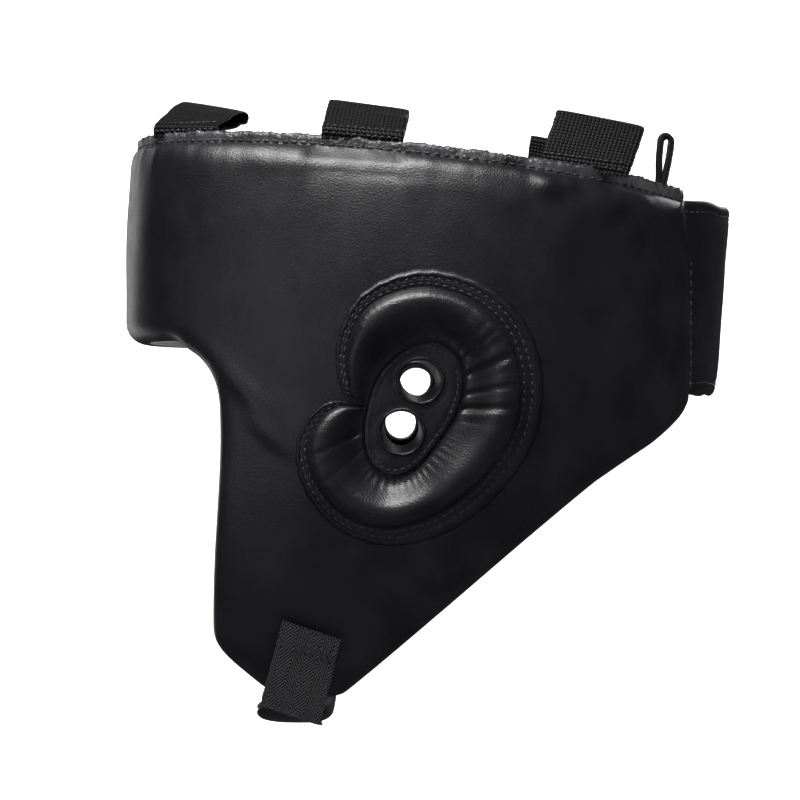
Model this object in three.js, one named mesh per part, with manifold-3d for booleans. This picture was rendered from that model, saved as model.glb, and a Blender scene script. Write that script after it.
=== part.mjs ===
// Boxing head guard, open faced, with a hook-and-loop closure at the back and a chin strap.
// Millimetres, +Z up. The wearer faces -X, so the wearer's left ear is at -Y. The origin is
// the middle of the head space, level with the ears.
import * as THREE from "three";
import { mergeVertices } from "three/addons/utils/BufferGeometryUtils.js";
import Module from "manifold-3d";

const wasm = await Module();
wasm.setup();

// ---- Driving dimensions ------------------------------------------------------------------

// The outside of the padded wall seen from above: two half ovals that share a widest line.
const BODY = { middleX: 11, front: 122, rear: 122, frontPower: 2.6, rearPower: 2.05, width: 100 };
const TAPER = { topZ: 105, bottomZ: -122, topWidth: 12, bottomWidth: 28, topLength: 2.5, bottomLength: 12 };

// How the wall is layered, as depths from the outside surface.
const COVER = 1.2;
const GAP = 0.3;
const IMPACT_FOAM = [1.5, 11.5];
const COMFORT_FOAM = [11.8, 18];
const WALL = 19.5;
const COVER_MEETS_LINING = 9.8;
const EDGE_INSET = 3.2; // from the cover's edge to the foam's

// Seen from the side.
const OPENING_Z = 22; // lower edge of the forehead
const CHEEK_X = -66; // front edge of the cheeks
const REAR_X = 110; // rear edge of the wings
const REAR_LOW_Z = 2;
const topZ = (x) => 92 - 0.1 * x - 0.0003 * x * x; // where the top edge is stitched
const SEAM_RISE = 4; // the seam's own edge stands this high above its stitches
const SEAM_DEPTH = [6, 8.4]; // the standing seam's two faces, as depths in the wall
const FOREHEAD_ENDS_X = -60; // where the forehead's foam meets the sides'

// Ears.
const EAR_HOLES = [{ name: "upper", x: 7.3, z: 7 }, { name: "lower", x: 0.5, z: -11.7 }];
const HOLE_RADIUS = 8.2;
const LINER = 0.9;
const PAD_HEIGHT = 9.5;
const FLANGE_WIDTH = 5;

// Straps.
const LOOP = { width: 32, length: 21, band: 1.4 };
const CLOSURE = { low: 2, high: 77, band: 2.4, patch: 1.2, fromX: 60, halfWidth: 72, power: 2.2 };
const CLOSURE_BACK = { x: 131, z: 40, slope: 0.079 }; // its rearmost line leans back as it rises
const CHIN = { width: 31, height: 10, webbing: 25, band: 1.4, reach: 66.5, middleX: -42 };

// ---- Materials ---------------------------------------------------------------------------

const finish = (color, roughness, metalness = 0) =>
  new THREE.MeshStandardMaterial({ color, roughness, metalness });
const LEATHER = finish(0x17171a, 0.42);
const LINING = finish(0x1b1b1f, 0.85);
const WEBBING = finish(0x141417, 0.8);
const DENSE_FOAM = finish(0x2c2c2f, 0.9);
const SOFT_FOAM = finish(0x8d8d88, 0.95);
const HOOK = finish(0x0e0e10, 0.7);
const PILE = finish(0x121214, 0.98);

// ---- Solids ------------------------------------------------------------------------------

function solidOf(geometry) {
  const bare = geometry.clone();
  bare.deleteAttribute("normal");
  bare.deleteAttribute("uv");
  const merged = mergeVertices(bare, 1e-4);
  return new wasm.Manifold(new wasm.Mesh({
    numProp: 3,
    vertProperties: new Float32Array(merged.attributes.position.array),
    triVerts: new Uint32Array(merged.index.array),
  }));
}

function geometryOf(solid) {
  const mesh = solid.getMesh();
  const geometry = new THREE.BufferGeometry();
  geometry.setAttribute("position", new THREE.BufferAttribute(mesh.vertProperties, 3));
  geometry.setIndex(new THREE.BufferAttribute(mesh.triVerts, 1));
  geometry.computeVertexNormals();
  return geometry;
}

// A solid from points and faces, whichever way round the faces are.
function solidFrom(points, faces) {
  const geometry = new THREE.BufferGeometry().setFromPoints(points);
  geometry.setIndex(faces);
  const solid = solidOf(geometry);
  if (solid.volume() > 0) return solid;
  geometry.setIndex(faces.slice().reverse());
  return solidOf(geometry);
}

// A closed skin over rows of points: each row is a closed ring, and the two ends are capped.
function loftedRings(rings) {
  const count = rings[0].length;
  const points = rings.flat();
  const faces = [];
  for (let row = 0; row + 1 < rings.length; row++) {
    for (let i = 0; i < count; i++) {
      const a = row * count + i;
      const b = row * count + ((i + 1) % count);
      faces.push(a, b, a + count, b, b + count, a + count);
    }
  }
  const last = points.length - count;
  for (let i = 1; i + 1 < count; i++) {
    faces.push(0, i + 1, i, last, last + i, last + i + 1);
  }
  return solidFrom(points, faces);
}

// A slab bent over a grid of (u, v) places: front(u, v) is its outside and back(u, v) its inside.
// Both sides split their quads along the same diagonal, so that slabs stacked face to face fit.
function bentSlab(us, vs, front, back) {
  const rings = us.map((u) => [
    ...vs.map((v) => front(u, v)),
    ...vs.slice().reverse().map((v) => back(u, v)),
  ]);
  const points = rings.flat();
  const size = rings[0].length;
  const half = vs.length;
  const faces = [];
  for (let row = 0; row + 1 < rings.length; row++) {
    for (let i = 0; i < size; i++) {
      const a = row * size + i;
      const b = row * size + ((i + 1) % size);
      if (i < half) faces.push(a, b, a + size, b, b + size, a + size);
      else faces.push(a, b, b + size, a, b + size, a + size);
    }
  }
  const last = points.length - size;
  for (let i = 0; i + 1 < half; i++) {
    const [a, b, c, d] = [i, i + 1, size - 2 - i, size - 1 - i];
    faces.push(a, d, b, b, d, c);
    faces.push(last + a, last + b, last + d, last + b, last + c, last + d);
  }
  return solidFrom(points, faces);
}

const steps = (from, to, count) =>
  Array.from({ length: count + 1 }, (_, i) => from + ((to - from) * i) / count);

// An outline in the side view, given in (x, z), as a prism along Y.
function sidePrism(shape, fromY, toY, curveSegments = 8) {
  const geometry = new THREE.ExtrudeGeometry(shape, {
    depth: toY - fromY, bevelEnabled: false, curveSegments,
  });
  geometry.rotateX(Math.PI / 2).translate(0, toY, 0);
  return solidOf(geometry);
}

// ---- The padded wall's surface -----------------------------------------------------------

function ovalAt(z) {
  const rise = z > 0 ? (z / TAPER.topZ) ** 2 : (z / TAPER.bottomZ) ** 2;
  const shorter = rise * (z > 0 ? TAPER.topLength : TAPER.bottomLength);
  const narrower = rise * (z > 0 ? TAPER.topWidth : TAPER.bottomWidth);
  return { front: BODY.front - shorter, rear: BODY.rear - shorter, width: BODY.width - narrower };
}

// A point on the wall. turn is 0 at the middle of the forehead and grows towards the right ear.
// Depth is measured inwards from the outside.
function wallPoint(turn, z, depth) {
  const oval = ovalAt(z);
  const isFront = Math.cos(turn) > 0;
  const power = isFront ? BODY.frontPower : BODY.rearPower;
  const length = isFront ? oval.front : oval.rear;
  const along = Math.abs(Math.cos(turn)) ** (2 / power);
  const across = Math.abs(Math.sin(turn)) ** (2 / power);
  const sideX = isFront ? -1 : 1;
  const sideY = Math.sign(Math.sin(turn)) || 1;
  const normal = new THREE.Vector2(
    (sideX * along ** (power - 1)) / length,
    (sideY * across ** (power - 1)) / oval.width,
  ).normalize();
  return new THREE.Vector3(
    BODY.middleX + sideX * length * along - normal.x * depth,
    sideY * oval.width * across - normal.y * depth,
    z,
  );
}

// Turns that divide the outline seen from above into equal lengths.
function evenTurns(from, to, count) {
  const fine = steps(from, to, 600);
  const lengths = [0];
  for (let i = 1; i < fine.length; i++) {
    const stride = wallPoint(fine[i], 0, 0).distanceTo(wallPoint(fine[i - 1], 0, 0));
    lengths.push(lengths[i - 1] + stride);
  }
  const total = lengths[lengths.length - 1];
  return steps(0, total, count).map((wanted) => {
    const i = Math.max(1, lengths.findIndex((l) => l >= wanted - 1e-9));
    const share = (wanted - lengths[i - 1]) / (lengths[i] - lengths[i - 1]);
    return fine[i - 1] + share * (fine[i] - fine[i - 1]);
  });
}

// The turn at which the outside of one side (-1 left, 1 right) reaches a given x.
function turnAtX(x, z, side) {
  let [low, high] = [0, Math.PI];
  for (let i = 0; i < 40; i++) {
    const middle = (low + high) / 2;
    if (wallPoint(middle, z, 0).x < x) low = middle;
    else high = middle;
  }
  return side * low;
}

const ALL_ROUND = evenTurns(-2.9, 2.9, 26);
const HEIGHTS = [-126, -84, -42, 0, 42, 78, 108];
const layer = (outer, inner) =>
  bentSlab(ALL_ROUND, HEIGHTS, (t, z) => wallPoint(t, z, outer), (t, z) => wallPoint(t, z, inner));

// A patch that lies on one side's surface between two depths, cut to an outline in the side view.
function patch(shape, side, outer, inner, [fromX, toX], [lowZ, highZ], curveSegments) {
  const turns = ALL_ROUND.filter((t) => {
    const x = wallPoint(t, 0, 0).x;
    return Math.sign(t) === side && x > fromX - 32 && x < toX + 32;
  });
  const heights = HEIGHTS.filter((z) => z > lowZ - 43 && z < highZ + 43);
  const slab = bentSlab(turns, heights, (t, z) => wallPoint(t, z, outer), (t, z) => wallPoint(t, z, inner));
  const prism = side < 0 ? sidePrism(shape, -160, 0, curveSegments) : sidePrism(shape, 0, 160, curveSegments);
  return slab.intersect(prism);
}

// ---- Outlines in the side view -----------------------------------------------------------

// The padded body. An inset outline is the same one drawn inside it.
function bodyOutline(inset = 0) {
  const shape = new THREE.Shape();
  const openingZ = OPENING_Z + inset;
  const cheekX = CHEEK_X + inset;
  const rearX = REAR_X - inset;
  const slant = inset * 0.75; // how far a slanting edge's points move along each axis
  shape.moveTo(-130, openingZ);
  shape.lineTo(-86, openingZ);
  shape.bezierCurveTo(-74 + slant, 20 + inset, cheekX, 10 + slant, cheekX, -4);
  shape.bezierCurveTo(cheekX + 1, -30, cheekX - 3, -50, cheekX - 3.5, -78);
  shape.bezierCurveTo(cheekX - 3, -96 + slant, -62 + slant, -98 + inset, -54 + slant, -106 + inset);
  shape.bezierCurveTo(-47, -112.5 + inset, -34, -114 + inset, -22 - slant, -110 + inset);
  shape.bezierCurveTo(4 - slant, -88 + slant, 38 - slant, -56 + slant, 72 - slant, -30 + slant);
  shape.bezierCurveTo(96 - slant, -14 + slant, rearX - 1, -10 + slant, rearX - 1, REAR_LOW_Z);
  shape.lineTo(rearX, topZ(REAR_X) - inset);
  const along = steps(REAR_X, -110, 6).slice(1);
  shape.splineThru(along.map((x) => new THREE.Vector2(x, topZ(x) - inset)));
  shape.lineTo(-130, topZ(-110) - inset);
  shape.closePath();
  return shape;
}

// The kidney outline of an ear guard, drawn as a thick C: it is round at the back, and two lobes
// meet in a notch at its front. grow moves it outwards.
const EAR = { x: 6.5, z: -2.3, notchAt: 3.05, notchDepth: 0.4 };
function kidneyPoint(angle, grow = 0) {
  const fromNotch = angleBetween(angle, EAR.notchAt);
  const notch = Math.exp(-((Math.abs(fromNotch) / 0.3) ** 1.15));
  const oval = 41.5 + 3.9 * Math.cos(2 * (angle - 1.15)) + 2.2 * Math.cos(angle + 0.55);
  const radius = oval + 6.5 * Math.exp(-((angleBetween(angle, 3.72) / 0.62) ** 2));
  const reach = radius * (1 - EAR.notchDepth * notch) + grow;
  return new THREE.Vector2(EAR.x + reach * Math.cos(angle), EAR.z + reach * Math.sin(angle));
}

function angleBetween(a, b) {
  return Math.atan2(Math.sin(a - b), Math.cos(a - b));
}

function kidneyOutline(grow, count = 34) {
  return new THREE.Shape(steps(0, 2 * Math.PI, count).slice(0, count).map((a) => kidneyPoint(a, grow)));
}

// The oval plate inside the ear guard, which the two holes go through.
const PLATE = { x: 4.4, z: -3.4, halfWidth: 17, halfHeight: 27, tilt: -0.33 };
function platePoint(angle, grow = 0) {
  const along = (PLATE.halfHeight + grow) * Math.sin(angle);
  const across = (PLATE.halfWidth + grow) * Math.cos(angle);
  const [c, s] = [Math.cos(PLATE.tilt), Math.sin(PLATE.tilt)];
  return new THREE.Vector2(PLATE.x + across * c - along * s, PLATE.z + across * s + along * c);
}

function plateOutline(grow, count = 22) {
  return new THREE.Shape(steps(0, 2 * Math.PI, count).slice(0, count).map((a) => platePoint(a, grow)));
}

const circle = (hole, radius) => {
  const shape = new THREE.Shape();
  return shape.absarc(hole.x, hole.z, radius, 0, 2 * Math.PI, false);
};

// ---- The object --------------------------------------------------------------------------

const headGuard = new THREE.Group();
headGuard.name = "head_guard";

function add(name, solid, material, parent = headGuard) {
  const mesh = new THREE.Mesh(solid.isBufferGeometry ? solid : geometryOf(solid), material);
  mesh.name = name;
  parent.add(mesh);
  return mesh;
}

// The two ear holes go straight through the wall, so every layer is bored for them.
const bores = (radius) =>
  EAR_HOLES.map((hole) => sidePrism(circle(hole, radius), -160, 160, 8))
    .reduce((all, one) => all.add(one));

function addWall() {
  const outline = sidePrism(bodyOutline(), -160, 160, 5);
  const inside = sidePrism(bodyOutline(COVER + GAP), -160, 160, 5);
  const core = sidePrism(bodyOutline(EDGE_INSET), -160, 160, 4);
  const bore = bores(HOLE_RADIUS + LINER + GAP);

  // Cover and lining are trays that meet edge to edge around the foam.
  const coverTray = layer(0, COVER_MEETS_LINING).intersect(outline)
    .subtract(layer(COVER, COVER_MEETS_LINING + 1).intersect(inside));
  add("outer_cover", coverTray.subtract(bore), LEATHER);
  const liningTray = layer(COVER_MEETS_LINING + GAP, WALL).intersect(outline)
    .subtract(layer(COVER_MEETS_LINING - 1, WALL - COVER).intersect(inside));
  add("lining", liningTray.subtract(bore), LINING);

  const impact = layer(...IMPACT_FOAM).intersect(core).subtract(bore);
  const slab = (fromX, toX, fromY, toY) => {
    const box = new THREE.BoxGeometry(toX - fromX, toY - fromY, 300);
    return solidOf(box.translate((fromX + toX) / 2, (fromY + toY) / 2, 0));
  };
  add("forehead_foam", impact.intersect(slab(-150, FOREHEAD_ENDS_X - GAP, -150, 150)), DENSE_FOAM);
  add("left_side_foam", impact.intersect(slab(FOREHEAD_ENDS_X, 150, -150, 0)), DENSE_FOAM);
  add("right_side_foam", impact.intersect(slab(FOREHEAD_ENDS_X, 150, 0, 150)), DENSE_FOAM);
  add("comfort_foam", layer(...COMFORT_FOAM).intersect(core).subtract(bore), SOFT_FOAM);
}

// The top edge's seam allowance: a thin strip of leather that stands above the stitches.
function addTopSeam() {
  const turns = evenTurns(turnAtX(REAR_X - 1, 80, -1), turnAtX(REAR_X - 1, 80, 1), 38);
  const at = (t, v, depth) => {
    const low = wallPoint(t, 92, depth);
    low.z = topZ(low.x) + GAP + v * (SEAM_RISE - GAP);
    return low;
  };
  const [outer, inner] = SEAM_DEPTH;
  add("top_seam", bentSlab(turns, [0, 1], (t, v) => at(t, v, outer), (t, v) => at(t, v, inner)), LEATHER);
}

function addEar(side, label) {
  const bounds = [[-40, 52], [-54, 50]];
  const flange = kidneyOutline(0);
  flange.holes.push(new THREE.Path(kidneyOutline(-FLANGE_WIDTH).getPoints()));
  add(`${label}_ear_flange`, patch(flange, side, -GAP - 1.4, -GAP, ...bounds), LEATHER);

  // The puffed ring is an arch of leather, open underneath, over a foam ring.
  const wall = 1.1;
  const puff = PAD_HEIGHT - wall;
  const cover = earArch(side, 0, GAP, PAD_HEIGHT).subtract(earArch(side, wall, 0, puff));
  add(`${label}_ear_pad`, cover, LEATHER);
  add(`${label}_ear_pad_foam`, earArch(side, wall + GAP, GAP, puff - 2 * GAP), SOFT_FOAM);

  const plate = plateOutline(0);
  EAR_HOLES.forEach((hole) => plate.holes.push(circle(hole, HOLE_RADIUS + LINER + GAP)));
  add(`${label}_ear_plate`, patch(plate, side, -GAP - 1.2, -GAP, ...bounds), LEATHER);
  add(`${label}_inner_ear_plate`, patch(plate, side, WALL + GAP, WALL + GAP + 1.2, ...bounds), LINING);

  for (const hole of EAR_HOLES) {
    const tube = circle(hole, HOLE_RADIUS + LINER);
    tube.holes.push(circle(hole, HOLE_RADIUS));
    const liner = patch(tube, side, -GAP - 1.2, WALL + GAP + 1.2, [hole.x, hole.x], [-20, 16], 8);
    add(`${label}_ear_hole_liner_${hole.name}`, liner, LEATHER);
  }
}

// A rounded ridge from the flange to the plate, which runs round the ear from notch to notch.
function earArch(side, shrink, base, height) {
  const ends = 0.24 + shrink / 25;
  const angles = steps(EAR.notchAt + ends, EAR.notchAt + 2 * Math.PI - ends, 26);
  const shares = [0, 0.12, 0.36, 0.64, 0.88, 1];
  const lifts = [0, 0.6, 0.97, 1, 0.66, 0];
  return loftedRings(angles.map((angle) => {
    const outside = kidneyPoint(angle, -FLANGE_WIDTH - 0.9 - shrink);
    const turn = Math.atan2(outside.y - PLATE.z, outside.x - PLATE.x) - PLATE.tilt;
    const inside = platePoint(
      Math.atan2(Math.sin(turn) * PLATE.halfWidth, Math.cos(turn) * PLATE.halfHeight),
      1 + shrink,
    );
    return shares.map((share, i) => {
      const spot = outside.clone().lerp(inside, share);
      return wallPoint(turnAtX(spot.x, spot.y, side), spot.y, -base - height * lifts[i]);
    });
  }));
}

// A loop of webbing on the top edge, made flat and then leaned inwards over the head.
const LOOPS = [
  { name: "front", x: -87, lean: 60, gap: 3.8 },
  { name: "middle", x: -14.5, lean: 50, gap: 3 },
  { name: "rear", x: 75, lean: 38, gap: 3 },
];
const LOOP_LIFT = 2.2; // from the seam's edge up to where a loop starts to lean
const HANG_LOOP = { x: 102, lift: 1.6, gap: 3.6, length: 17, band: 1, width: 4 };

// The band's section: two layers sewn flat at the foot, which part into a bulb under the fold.
function loopBand({ gap }, length = LOOP.length, band = LOOP.band) {
  const foldZ = length - band - gap / 2;
  const teardrop = (path, half, footHalf, footZ) => {
    path.moveTo(footHalf, footZ);
    path.bezierCurveTo(footHalf, footZ + 3, half, 5, half, foldZ);
    path.absarc(0, foldZ, half, 0, Math.PI, false);
    path.bezierCurveTo(-half, 5, -footHalf, footZ + 3, -footHalf, footZ);
    return path;
  };
  const shape = teardrop(new THREE.Shape(), gap / 2 + band, band, 0);
  shape.holes.push(teardrop(new THREE.Path(), gap / 2, 0.2, 2.4));
  return shape;
}

// A group at the top edge whose X runs along the edge, Y points up and Z points out of the head.
function rimFrame(x, side, lift) {
  const depth = (SEAM_DEPTH[0] + SEAM_DEPTH[1]) / 2;
  const place = (atX) => {
    const point = wallPoint(turnAtX(atX, 92, side), 92, depth);
    return point.setZ(topZ(point.x) + SEAM_RISE + lift);
  };
  const [before, origin, after] = [place(x - 4), place(x), place(x + 4)];
  const along = after.sub(before).normalize();
  const up = new THREE.Vector3(0, 0, 1).addScaledVector(along, -along.z).normalize();
  const out = new THREE.Vector3().crossVectors(along, up);
  const group = new THREE.Group();
  group.matrix.makeBasis(along, up, out).setPosition(origin);
  group.matrix.decompose(group.position, group.quaternion, group.scale);
  headGuard.add(group);
  return group;
}

function addLoop(loop, side, label) {
  const frame = rimFrame(loop.x, side, LOOP_LIFT);
  const geometry = new THREE.ExtrudeGeometry(loopBand(loop), {
    depth: LOOP.width, bevelEnabled: false, curveSegments: 4,
  });
  geometry.translate(0, 0, -LOOP.width / 2).rotateY(Math.PI / 2);
  const mesh = add(`${label}_${loop.name}_loop`, geometry, WEBBING, frame);
  // Out of the head is +Z of the frame on the left side and -Z on the right.
  mesh.rotation.x = side * THREE.MathUtils.degToRad(loop.lean);
}

// A small hanging loop of narrow tape in the rear of the left wing's top seam.
function addHangLoop() {
  const { x, lift, gap, length, band, width } = HANG_LOOP;
  const frame = rimFrame(x, -1, lift);
  const geometry = new THREE.ExtrudeGeometry(loopBand({ gap }, length, band), {
    depth: width, bevelEnabled: false, curveSegments: 5,
  });
  geometry.translate(0, 0, -width / 2);
  add("hang_loop", geometry, WEBBING, frame);
}

// The closure's straps bridge the gap at the back. They lean: the top is further back.
function closurePoint(turn, z, depth) {
  const { fromX, halfWidth, power } = CLOSURE;
  const reach = CLOSURE_BACK.x + CLOSURE_BACK.slope * (z - CLOSURE_BACK.z) - fromX;
  const along = Math.abs(Math.cos(turn)) ** (2 / power);
  const across = Math.sign(turn) * Math.abs(Math.sin(turn)) ** (2 / power);
  const normal = new THREE.Vector2(
    along ** (power - 1) / reach,
    (Math.sign(turn) * Math.abs(across) ** (power - 1)) / halfWidth,
  ).normalize();
  return new THREE.Vector3(
    fromX + reach * along - normal.x * depth,
    halfWidth * across - normal.y * depth,
    z,
  );
}

function closureBand(fromY, toY, low, high, outer, inner, tilt = 0) {
  const { halfWidth, power } = CLOSURE;
  const turnOf = (y) => Math.sign(y) * Math.asin((Math.abs(y) / halfWidth) ** (power / 2));
  const turns = steps(turnOf(fromY), turnOf(toY), 12);
  const levels = steps(low, high, 2);
  const at = (t, z, depth) => {
    const point = closurePoint(t, z, depth);
    return point.setZ(z + tilt * (toY - point.y));
  };
  return bentSlab(turns, levels, (t, z) => at(t, z, outer), (t, z) => at(t, z, inner));
}

function addClosure() {
  const { low, high, band, patch: thick } = CLOSURE;
  const wings = solidOf(new THREE.BoxGeometry(100, 200, 200).translate(REAR_X + GAP - 50, 0, 40));
  const hook = band + GAP;
  const pile = hook + thick + GAP;
  const tongue = pile + thick + GAP;
  add("rear_strap", closureBand(-60, 43, low, high, 0, band).subtract(wings), LEATHER);
  add("rear_strap_hook", closureBand(-8, 40, low + 6, high - 6, hook, hook + thick), HOOK);
  add("rear_tongue_pile", closureBand(-12, 36, low + 6, high - 3, pile, pile + thick, 0.05), PILE);
  const flap = closureBand(-14, 60, low + 3, high + 1.5, tongue, tongue + 2.2, 0.05);
  add("rear_tongue", flap.subtract(wings), LEATHER);
}

// A tab of webbing's width lies on each cheek. It slants forwards as it goes down.
const tabMiddle = (z) => CHIN.middleX + 8.5 + 0.27 * (z + 86);
function tabOutline(highZ, lowZ) {
  const corner = (z, x) => new THREE.Vector2(tabMiddle(z) + x, z - 0.12 * x);
  const half = CHIN.webbing / 2;
  return new THREE.Shape([
    corner(highZ, -half), corner(lowZ, -half), corner(lowZ, half), corner(highZ, half),
  ]);
}

// The chin strap's line in the (y, z) plane. along runs from -1 at the left end to 1 at the right.
const chinLine = (along, lift = 0) =>
  new THREE.Vector3(CHIN.middleX, CHIN.reach * along, -126 + 7.5 * along * along + lift);

function chinBody(width, height, lift, reach) {
  const corner = (value, power) => Math.sign(value) * Math.abs(value) ** power;
  const round = steps(0, 2 * Math.PI, 12).slice(0, 12);
  return loftedRings(steps(-reach, reach, 8).map((along) => round.map((angle) => {
    const x = (width / 2) * corner(Math.cos(angle), 0.35);
    const z = (height / 2) * corner(Math.sin(angle), 0.45);
    return chinLine(along, lift + z).add(new THREE.Vector3(x, 0, 0));
  })));
}

// One edge of the chin webbing: along under the foam, out of the pad and up the right cheek.
function chinWebbingEdge(offset, depth) {
  const inside = steps(-0.96, 1, 6).map((along) => chinLine(along, -2));
  const bend = new THREE.Vector3(CHIN.middleX, CHIN.reach + 7, -116.5);
  const cheek = [-106, -95, -84].map((z) => {
    const x = tabMiddle(z) + offset;
    return wallPoint(turnAtX(x, z, 1), z, depth).setX(x - offset);
  });
  const route = new THREE.CatmullRomCurve3([...inside, bend, ...cheek], false, "centripetal");
  return route.getSpacedPoints(22).map((point) => point.setX(point.x + offset));
}

function chinWebbing(band, depth) {
  const half = CHIN.webbing / 2;
  const [front, rear] = [-half, half].map((offset) => chinWebbingEdge(offset, depth));
  return loftedRings(front.map((point, i) => {
    const [before, after] = [front[Math.max(i - 1, 0)], front[Math.min(i + 1, front.length - 1)]];
    const up = new THREE.Vector3().crossVectors(rear[i].clone().sub(point), after.clone().sub(before));
    up.setLength(band / 2);
    return [point.clone().sub(up), rear[i].clone().sub(up), rear[i].clone().add(up), point.clone().add(up)];
  }));
}

function addChinStrap() {
  const { width, height, band } = CHIN;
  const skin = 1.2;
  const fastener = 1.2;
  const bounds = [[-60, -20], [-112, -82]];
  add("left_chin_tab", patch(tabOutline(-83, -116.5), -1, -0.5 - 1.6, -0.5, ...bounds), WEBBING);
  add("right_chin_pile", patch(tabOutline(-83, -107), 1, -GAP - fastener, -GAP, ...bounds), PILE);
  const hookDepth = -2 * GAP - 2 * fastener;
  add("chin_webbing_hook", patch(tabOutline(-84, -105), 1, hookDepth, hookDepth + fastener, ...bounds), HOOK);

  const hollow = chinBody(width - 2 * skin, height - 2 * skin, 0, 1.02);
  add("chin_pad_cover", chinBody(width, height, 0, 1).subtract(hollow), LEATHER);
  add("chin_pad_foam", chinBody(width - 2 * skin - 2, 3.4, 1.4, 0.97), SOFT_FOAM);
  add("chin_webbing", chinWebbing(band, hookDepth - 2 * GAP - band / 2 - 0.3), WEBBING);
}

addWall();
addTopSeam();
for (const [side, label] of [[-1, "left"], [1, "right"]]) {
  addEar(side, label);
  for (const loop of LOOPS) addLoop(loop, side, label);
}
addHangLoop();
addClosure();
addChinStrap();

export default headGuard;
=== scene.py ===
# %% [markdown]
# # A boxing head guard
# This lesson builds the soft, stitched look of an open-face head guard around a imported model.
# The guard is a padded ring of synthetic leather with two raised ear guards, webbing loops along
# the top for a lace, a wide closure strap at the back and a padded chin strap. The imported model
# gives each moving piece its body and its hinge. The shapes are drawn again here, finer, to the
# same dimensions within a few millimetres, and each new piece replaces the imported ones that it
# stands for.

# %% Load the frame
import math

import bpy
import numpy as np
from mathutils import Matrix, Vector
from mathutils.geometry import delaunay_2d_cdt


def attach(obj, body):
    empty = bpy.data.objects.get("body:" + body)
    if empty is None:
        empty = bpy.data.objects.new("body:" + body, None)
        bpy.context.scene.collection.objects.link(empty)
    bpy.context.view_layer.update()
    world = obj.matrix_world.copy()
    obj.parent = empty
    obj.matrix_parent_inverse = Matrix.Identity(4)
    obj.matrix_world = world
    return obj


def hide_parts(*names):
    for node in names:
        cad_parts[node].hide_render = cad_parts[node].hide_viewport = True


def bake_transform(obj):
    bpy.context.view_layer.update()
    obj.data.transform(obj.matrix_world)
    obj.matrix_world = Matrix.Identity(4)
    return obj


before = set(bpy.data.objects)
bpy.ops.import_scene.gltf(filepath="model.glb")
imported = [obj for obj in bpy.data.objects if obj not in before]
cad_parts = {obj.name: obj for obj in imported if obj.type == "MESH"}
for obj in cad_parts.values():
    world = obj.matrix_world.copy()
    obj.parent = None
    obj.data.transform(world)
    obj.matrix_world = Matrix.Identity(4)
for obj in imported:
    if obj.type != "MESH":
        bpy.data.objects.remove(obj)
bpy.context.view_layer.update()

# %% [markdown]
# ## The camera
# The camera stands straight out from the wearer's left ear, 900 mm from the guard's mid-plane.
# A long lens keeps the near ear guard from looking swollen. The lens is worked out from how wide
# a strip of the mid-plane fills the frame.

# %% Place the camera
MM = 0.001
CAMERA_AWAY = 900.0
FRAME_WIDTH = 328.0

camera_data = bpy.data.cameras.new("side_camera")
camera_data.lens = camera_data.sensor_width * CAMERA_AWAY / FRAME_WIDTH
camera = bpy.data.objects.new("side_camera", camera_data)
camera.location = (0.0, -CAMERA_AWAY * MM, 0.0)
camera.rotation_euler = (math.radians(90), 0.0, 0.0)
bpy.context.scene.collection.objects.link(camera)
bpy.context.scene.camera = camera
print(f"lens {camera_data.lens:.1f} mm")

# %% [markdown]
# ## The wall's plan
# A saddler cuts the guard flat and then bends it round a head. The script does the same: a place
# on the flat pattern is a run along the leather from the middle of the forehead, negative towards
# the left ear, and a height. The plan curve below is where the outside of the leather goes when it
# is bent. It is a rounded oval, blunter at the forehead than at the nape, and it tapers a little
# towards the crown and more towards the chin. All lengths are in millimetres until a mesh is made.

# %% Draw the plan curve
MIDDLE_X = 11.0
HALF_LENGTH = 122.0
HALF_WIDTH = 100.0
WALL = 19.5
SEAM_DEPTH = 9.8  # how deep in the wall the cover meets the lining


def half_length(z):
    return HALF_LENGTH - np.where(z > 0, 2.5 * (z / 105.0) ** 2, 12.0 * (z / 122.0) ** 2)


def half_width(z):
    return HALF_WIDTH - np.where(z > 0, 12.0 * (z / 105.0) ** 2, 28.0 * (z / 122.0) ** 2)


def plan_point(turn, z):
    """The wall's outside at a turn about the head: 0 is the forehead's middle."""
    towards_front = np.clip(np.cos(turn) / 0.7 + 0.5, 0.0, 1.0)
    blend = towards_front**2 * (3 - 2 * towards_front)
    power = 2.05 + 0.55 * blend
    along = np.sign(np.cos(turn)) * np.abs(np.cos(turn)) ** (2 / power)
    across = np.sign(np.sin(turn)) * np.abs(np.sin(turn)) ** (2 / power)
    return MIDDLE_X - half_length(z) * along, half_width(z) * across


TURNS = np.sign(np.linspace(-1, 1, 6001)) * np.abs(np.linspace(-1, 1, 6001)) ** 1.6 * 2.98
plan_x, plan_y = plan_point(TURNS, np.zeros_like(TURNS))
RUNS = np.concatenate([[0.0], np.cumsum(np.hypot(np.diff(plan_x), np.diff(plan_y)))])
RUNS -= RUNS[-1] / 2
print(f"the leather runs {RUNS[-1]:.0f} mm each way from the forehead's middle")

# %% [markdown]
# Two small functions do the bending. One turns a pattern place into a point in space, at any depth
# under the leather. The other finds the run that lies at a given distance forward or back, so that
# shapes drawn in a side view, such as an ear guard's outline, can be laid on the pattern.

# %% Bend the pattern
def bend(run, z, depth):
    """Pattern places to points in space. A negative depth stands proud of the leather."""
    run, z, depth = np.broadcast_arrays(*(np.asarray(v, float) for v in (run, z, depth)))
    x, y = plan_point(np.interp(run, RUNS, TURNS), z)
    before = plan_point(np.interp(run - 0.6, RUNS, TURNS), z)
    after = plan_point(np.interp(run + 0.6, RUNS, TURNS), z)
    step_x, step_y = after[0] - before[0], after[1] - before[1]
    length = np.hypot(step_x, step_y)
    return np.stack([x + step_y / length * depth, y - step_x / length * depth, z], -1)


RIGHT = RUNS >= 0


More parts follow.
